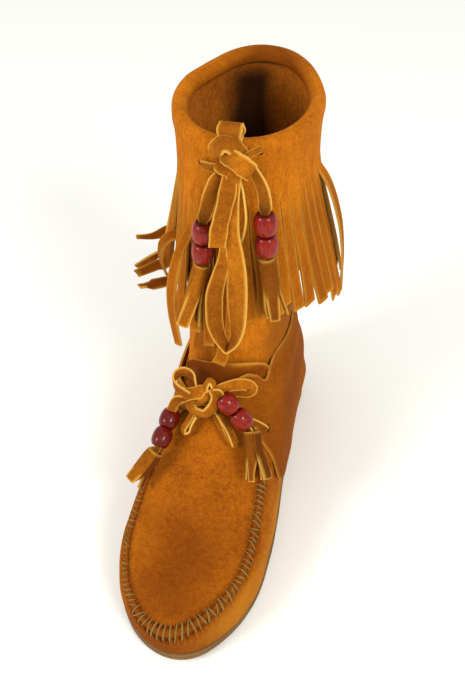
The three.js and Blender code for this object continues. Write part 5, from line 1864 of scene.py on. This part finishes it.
@dataclass
class Lacing:
    """Both laces: bars from hole to hole, knots, loops, tails and beaded ends with tassels."""

    bead_half: float = 6.3
    tassel_gap: float = 0.6
    tassel_neck: float = 4.6
    tassel_hold: float = 2.5
    threaded: float = 4.2
    entering: float = 6.4
    above_bead: Pair = (8.6, 6.0)
    knot_thick: float = 1.7
    knot_drawn: Pair = (0.8, 0.95)
    knot_phase: float = 2.0
    bar_drawn: float = 0.5
    bar_narrow: float = 0.16
    flat_cup: float = 0.1
    # Painted shade on the laces of the beaded ends.
    tail_painted_shade: float = 0.6
    seeds: Pair = (0.4, 1.7)

    def bar(self, name: str, rows: Route, width: float, finishes: Finishes) -> None:
        """Build the lace held against the boot between its two holes.

        Args:
            name: the solid that it stands for.
            rows: levels, turns and distances off the skin.
            width: width of the lace.
            finishes: the boot's materials.
        """
        shape = Shape()
        route = FORM.layer(*np.array(rows, float).T).tolist()
        Thong(name, route, width=width, drawn_start=self.bar_drawn, drawn_end=self.bar_drawn,
              cup=self.flat_cup, narrow=self.bar_narrow).mesh(shape, 1.0)
        shape.piece(f"{name}_thong", finishes.thong, [name])

    def knot(self, name: str, wraps: Sequence[Wrap], finishes: Finishes) -> bpy.types.Object:
        """Build a knot from turns of thong.

        Args:
            name: the solid that it stands for.
            wraps: the turns.
            finishes: the boot's materials.

        Returns:
            The knot.
        """
        shape = Shape()
        start, end = self.knot_drawn
        for number, wrap in enumerate(wraps):
            Thong(name, wrap.route, width=wrap.width, tilt=wrap.tilt, drawn_start=start, drawn_end=end,
                  thick=self.knot_thick, cup=self.flat_cup, dome=wrap.dome,
                  facing=wrap.facing).mesh(shape, number * self.knot_phase)
        return shape.piece(f"{name}_wraps", finishes.thong, [name])

    def beaded_end(self, name: str, finishes: Finishes, seed: float) -> None:
        """Build a lace end that runs through two beads into a tassel.

        Args:
            name: start of the names of its solids.
            finishes: the boot's materials.
            seed: makes each tassel hang its own way.
        """
        part = BEADED_ENDS[name]
        high, low, tip = (np.array(point, float) for point in (part.high, part.low, part.tip))
        along = unit(high - low)
        hang = unit(tip - low)
        lean = math.acos(float(np.clip(-along @ hang, -1, 1)))
        foot = low - along * (self.bead_half + self.tassel_gap + self.tassel_neck * math.sin(lean))
        beads = [Bead(f"{name}_bead_{which}", middle, along, painted_shade=part.painted_shade).build(finishes)
                 for which, middle in (("high", high), ("low", low))]
        tassel = Tassel(f"{name}_tassel", foot + hang * self.tassel_gap, tip, part.cuff, part.dim,
                        spread=part.spread).build(finishes, seed)
        before, onto = (high + along * rise for rise in self.above_bead)
        rows = [*part.route, (*before, 0.0, self.entering)]
        for place in (onto, high, low, foot + hang * self.tassel_hold):
            rows.append((*place, 0.0, self.threaded))
        end = Thong(f"{name}_end", rows, FarEnd.TASSEL, drawn_end=1.0, dark=self.tail_painted_shade)
        end.build(finishes, [*beads, tassel])

    def build(self, finishes: Finishes) -> None:
        """Build and dress everything on both laces."""
        self.bar("collar_lace_bar", COLLAR_BAR, 5.0, finishes)
        self.bar("ankle_lace_bar", ANKLE_BAR, 6.0, finishes)
        knots = {"collar_loop_long": [self.knot("collar_knot", COLLAR_KNOT, finishes)],
                 "ankle_loop_side": [self.knot("ankle_knot", ANKLE_KNOT, finishes)]}
        for loop in LOOPS:
            loop.build(finishes, knots.get(loop.name, ()))
        start, step = self.seeds
        for number, name in enumerate(BEADED_ENDS):
            self.beaded_end(name, finishes, step * number + start)


@dataclass(frozen=True)
class Softbox:
    """Square soft light: where it hangs and what it faces in metres, its side, watts and colour."""

    name: str
    place: Place
    power: float
    colour: str
    aim: Place = (0.0, -0.08, 0.12)
    size: float = 0.46

    def build(self) -> None:
        """Hang the light."""
        data = bpy.data.lights.new(self.name, "AREA")
        data.size = self.size
        data.energy = self.power
        data.color = linear(self.colour)[:3]
        back = unit(np.array(self.place) - np.array(self.aim))
        right = unit(np.cross(UP, back))
        stand(put(self.name, data), right, np.cross(back, right), back, self.place)


@dataclass
class Studio:
    """Pale floor, soft light and a camera at the viewing angle of the photograph."""

    place: Place = (106.968, -387.407, 472.192)
    azimuth: float = 0.316
    elevation: float = 0.809
    roll: float = -0.065
    focal: float = 787.656
    frame_height: float = 700.0
    sensor: float = 36.0
    clip: Pair = (0.01, 20.0)
    floor: str = "#fbfcf8"
    floor_half: float = 6.0
    floor_roughness: float = 0.9
    floor_gloss: float = 0.1
    sky: str = "#fffffd"
    sky_strength: float = 0.77
    lights: tuple[Softbox, ...] = (
        Softbox("key_softbox", (1.0, -0.8, 1.1), 12.6, "#fffdf6"),
        Softbox("fill_softbox", (-0.9, -0.9, 0.9), 10.2, "#fffdf8"),
    )

    def camera(self) -> None:
        """Stand the camera where the photograph was taken from, turned to frame the one boot."""
        a, e, r = self.azimuth, self.elevation, self.roll
        ahead = np.array([-math.sin(a) * math.cos(e), math.cos(a) * math.cos(e), -math.sin(e)])
        level = np.array([math.cos(a), math.sin(a), 0.0])
        lift = np.cross(level, ahead)
        right = math.cos(r) * level + math.sin(r) * lift
        up = -math.sin(r) * level + math.cos(r) * lift
        data = bpy.data.cameras.new("camera")
        data.sensor_width = self.sensor
        data.lens = self.sensor * self.focal / self.frame_height
        data.clip_start, data.clip_end = self.clip
        made = put("camera", data)
        stand(made, right, up, -ahead, np.array(self.place) * MM)
        bpy.context.scene.camera = made

    def ground(self) -> None:
        """Lay the floor."""
        mesh = bpy.data.meshes.new("floor")
        half = self.floor_half
        corners = [(-half, -half, 0), (half, -half, 0), (half, half, 0), (-half, half, 0)]
        mesh.from_pydata(corners, [], [(0, 1, 2, 3)])
        paper = bpy.data.materials.new("matt_white_paper")
        paper.use_nodes = True
        shader = paper.node_tree.nodes["Principled BSDF"]
        shader.inputs["Base Color"].default_value = linear(self.floor)
        shader.inputs["Roughness"].default_value = self.floor_roughness
        shader.inputs["Specular IOR Level"].default_value = self.floor_gloss
        mesh.materials.append(paper)
        put("floor", mesh)

    def build(self) -> None:
        """Set up camera, floor and lights."""
        self.camera()
        self.ground()
        world = bpy.data.worlds.new("studio")
        world.use_nodes = True
        sky = world.node_tree.nodes["Background"]
        sky.inputs["Color"].default_value = linear(self.sky)
        sky.inputs["Strength"].default_value = self.sky_strength
        bpy.context.scene.world = world
        bpy.context.scene.view_settings.view_transform = "Standard"
        for light in self.lights:
            light.build()


def main() -> None:
    """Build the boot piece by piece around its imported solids."""
    logging.basicConfig(level=logging.INFO, format="%(name)s %(message)s")
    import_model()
    Studio().build()
    finishes = Finishes.make()
    Lacing().build(finishes)
    Sole().build(finishes)
    Upper().build(finishes)
    SEAM.build(finishes)
    Quarter().build(finishes)
    Shaft().build(finishes)
    Cuff().build(finishes)


if __name__ == "__main__":
    main()
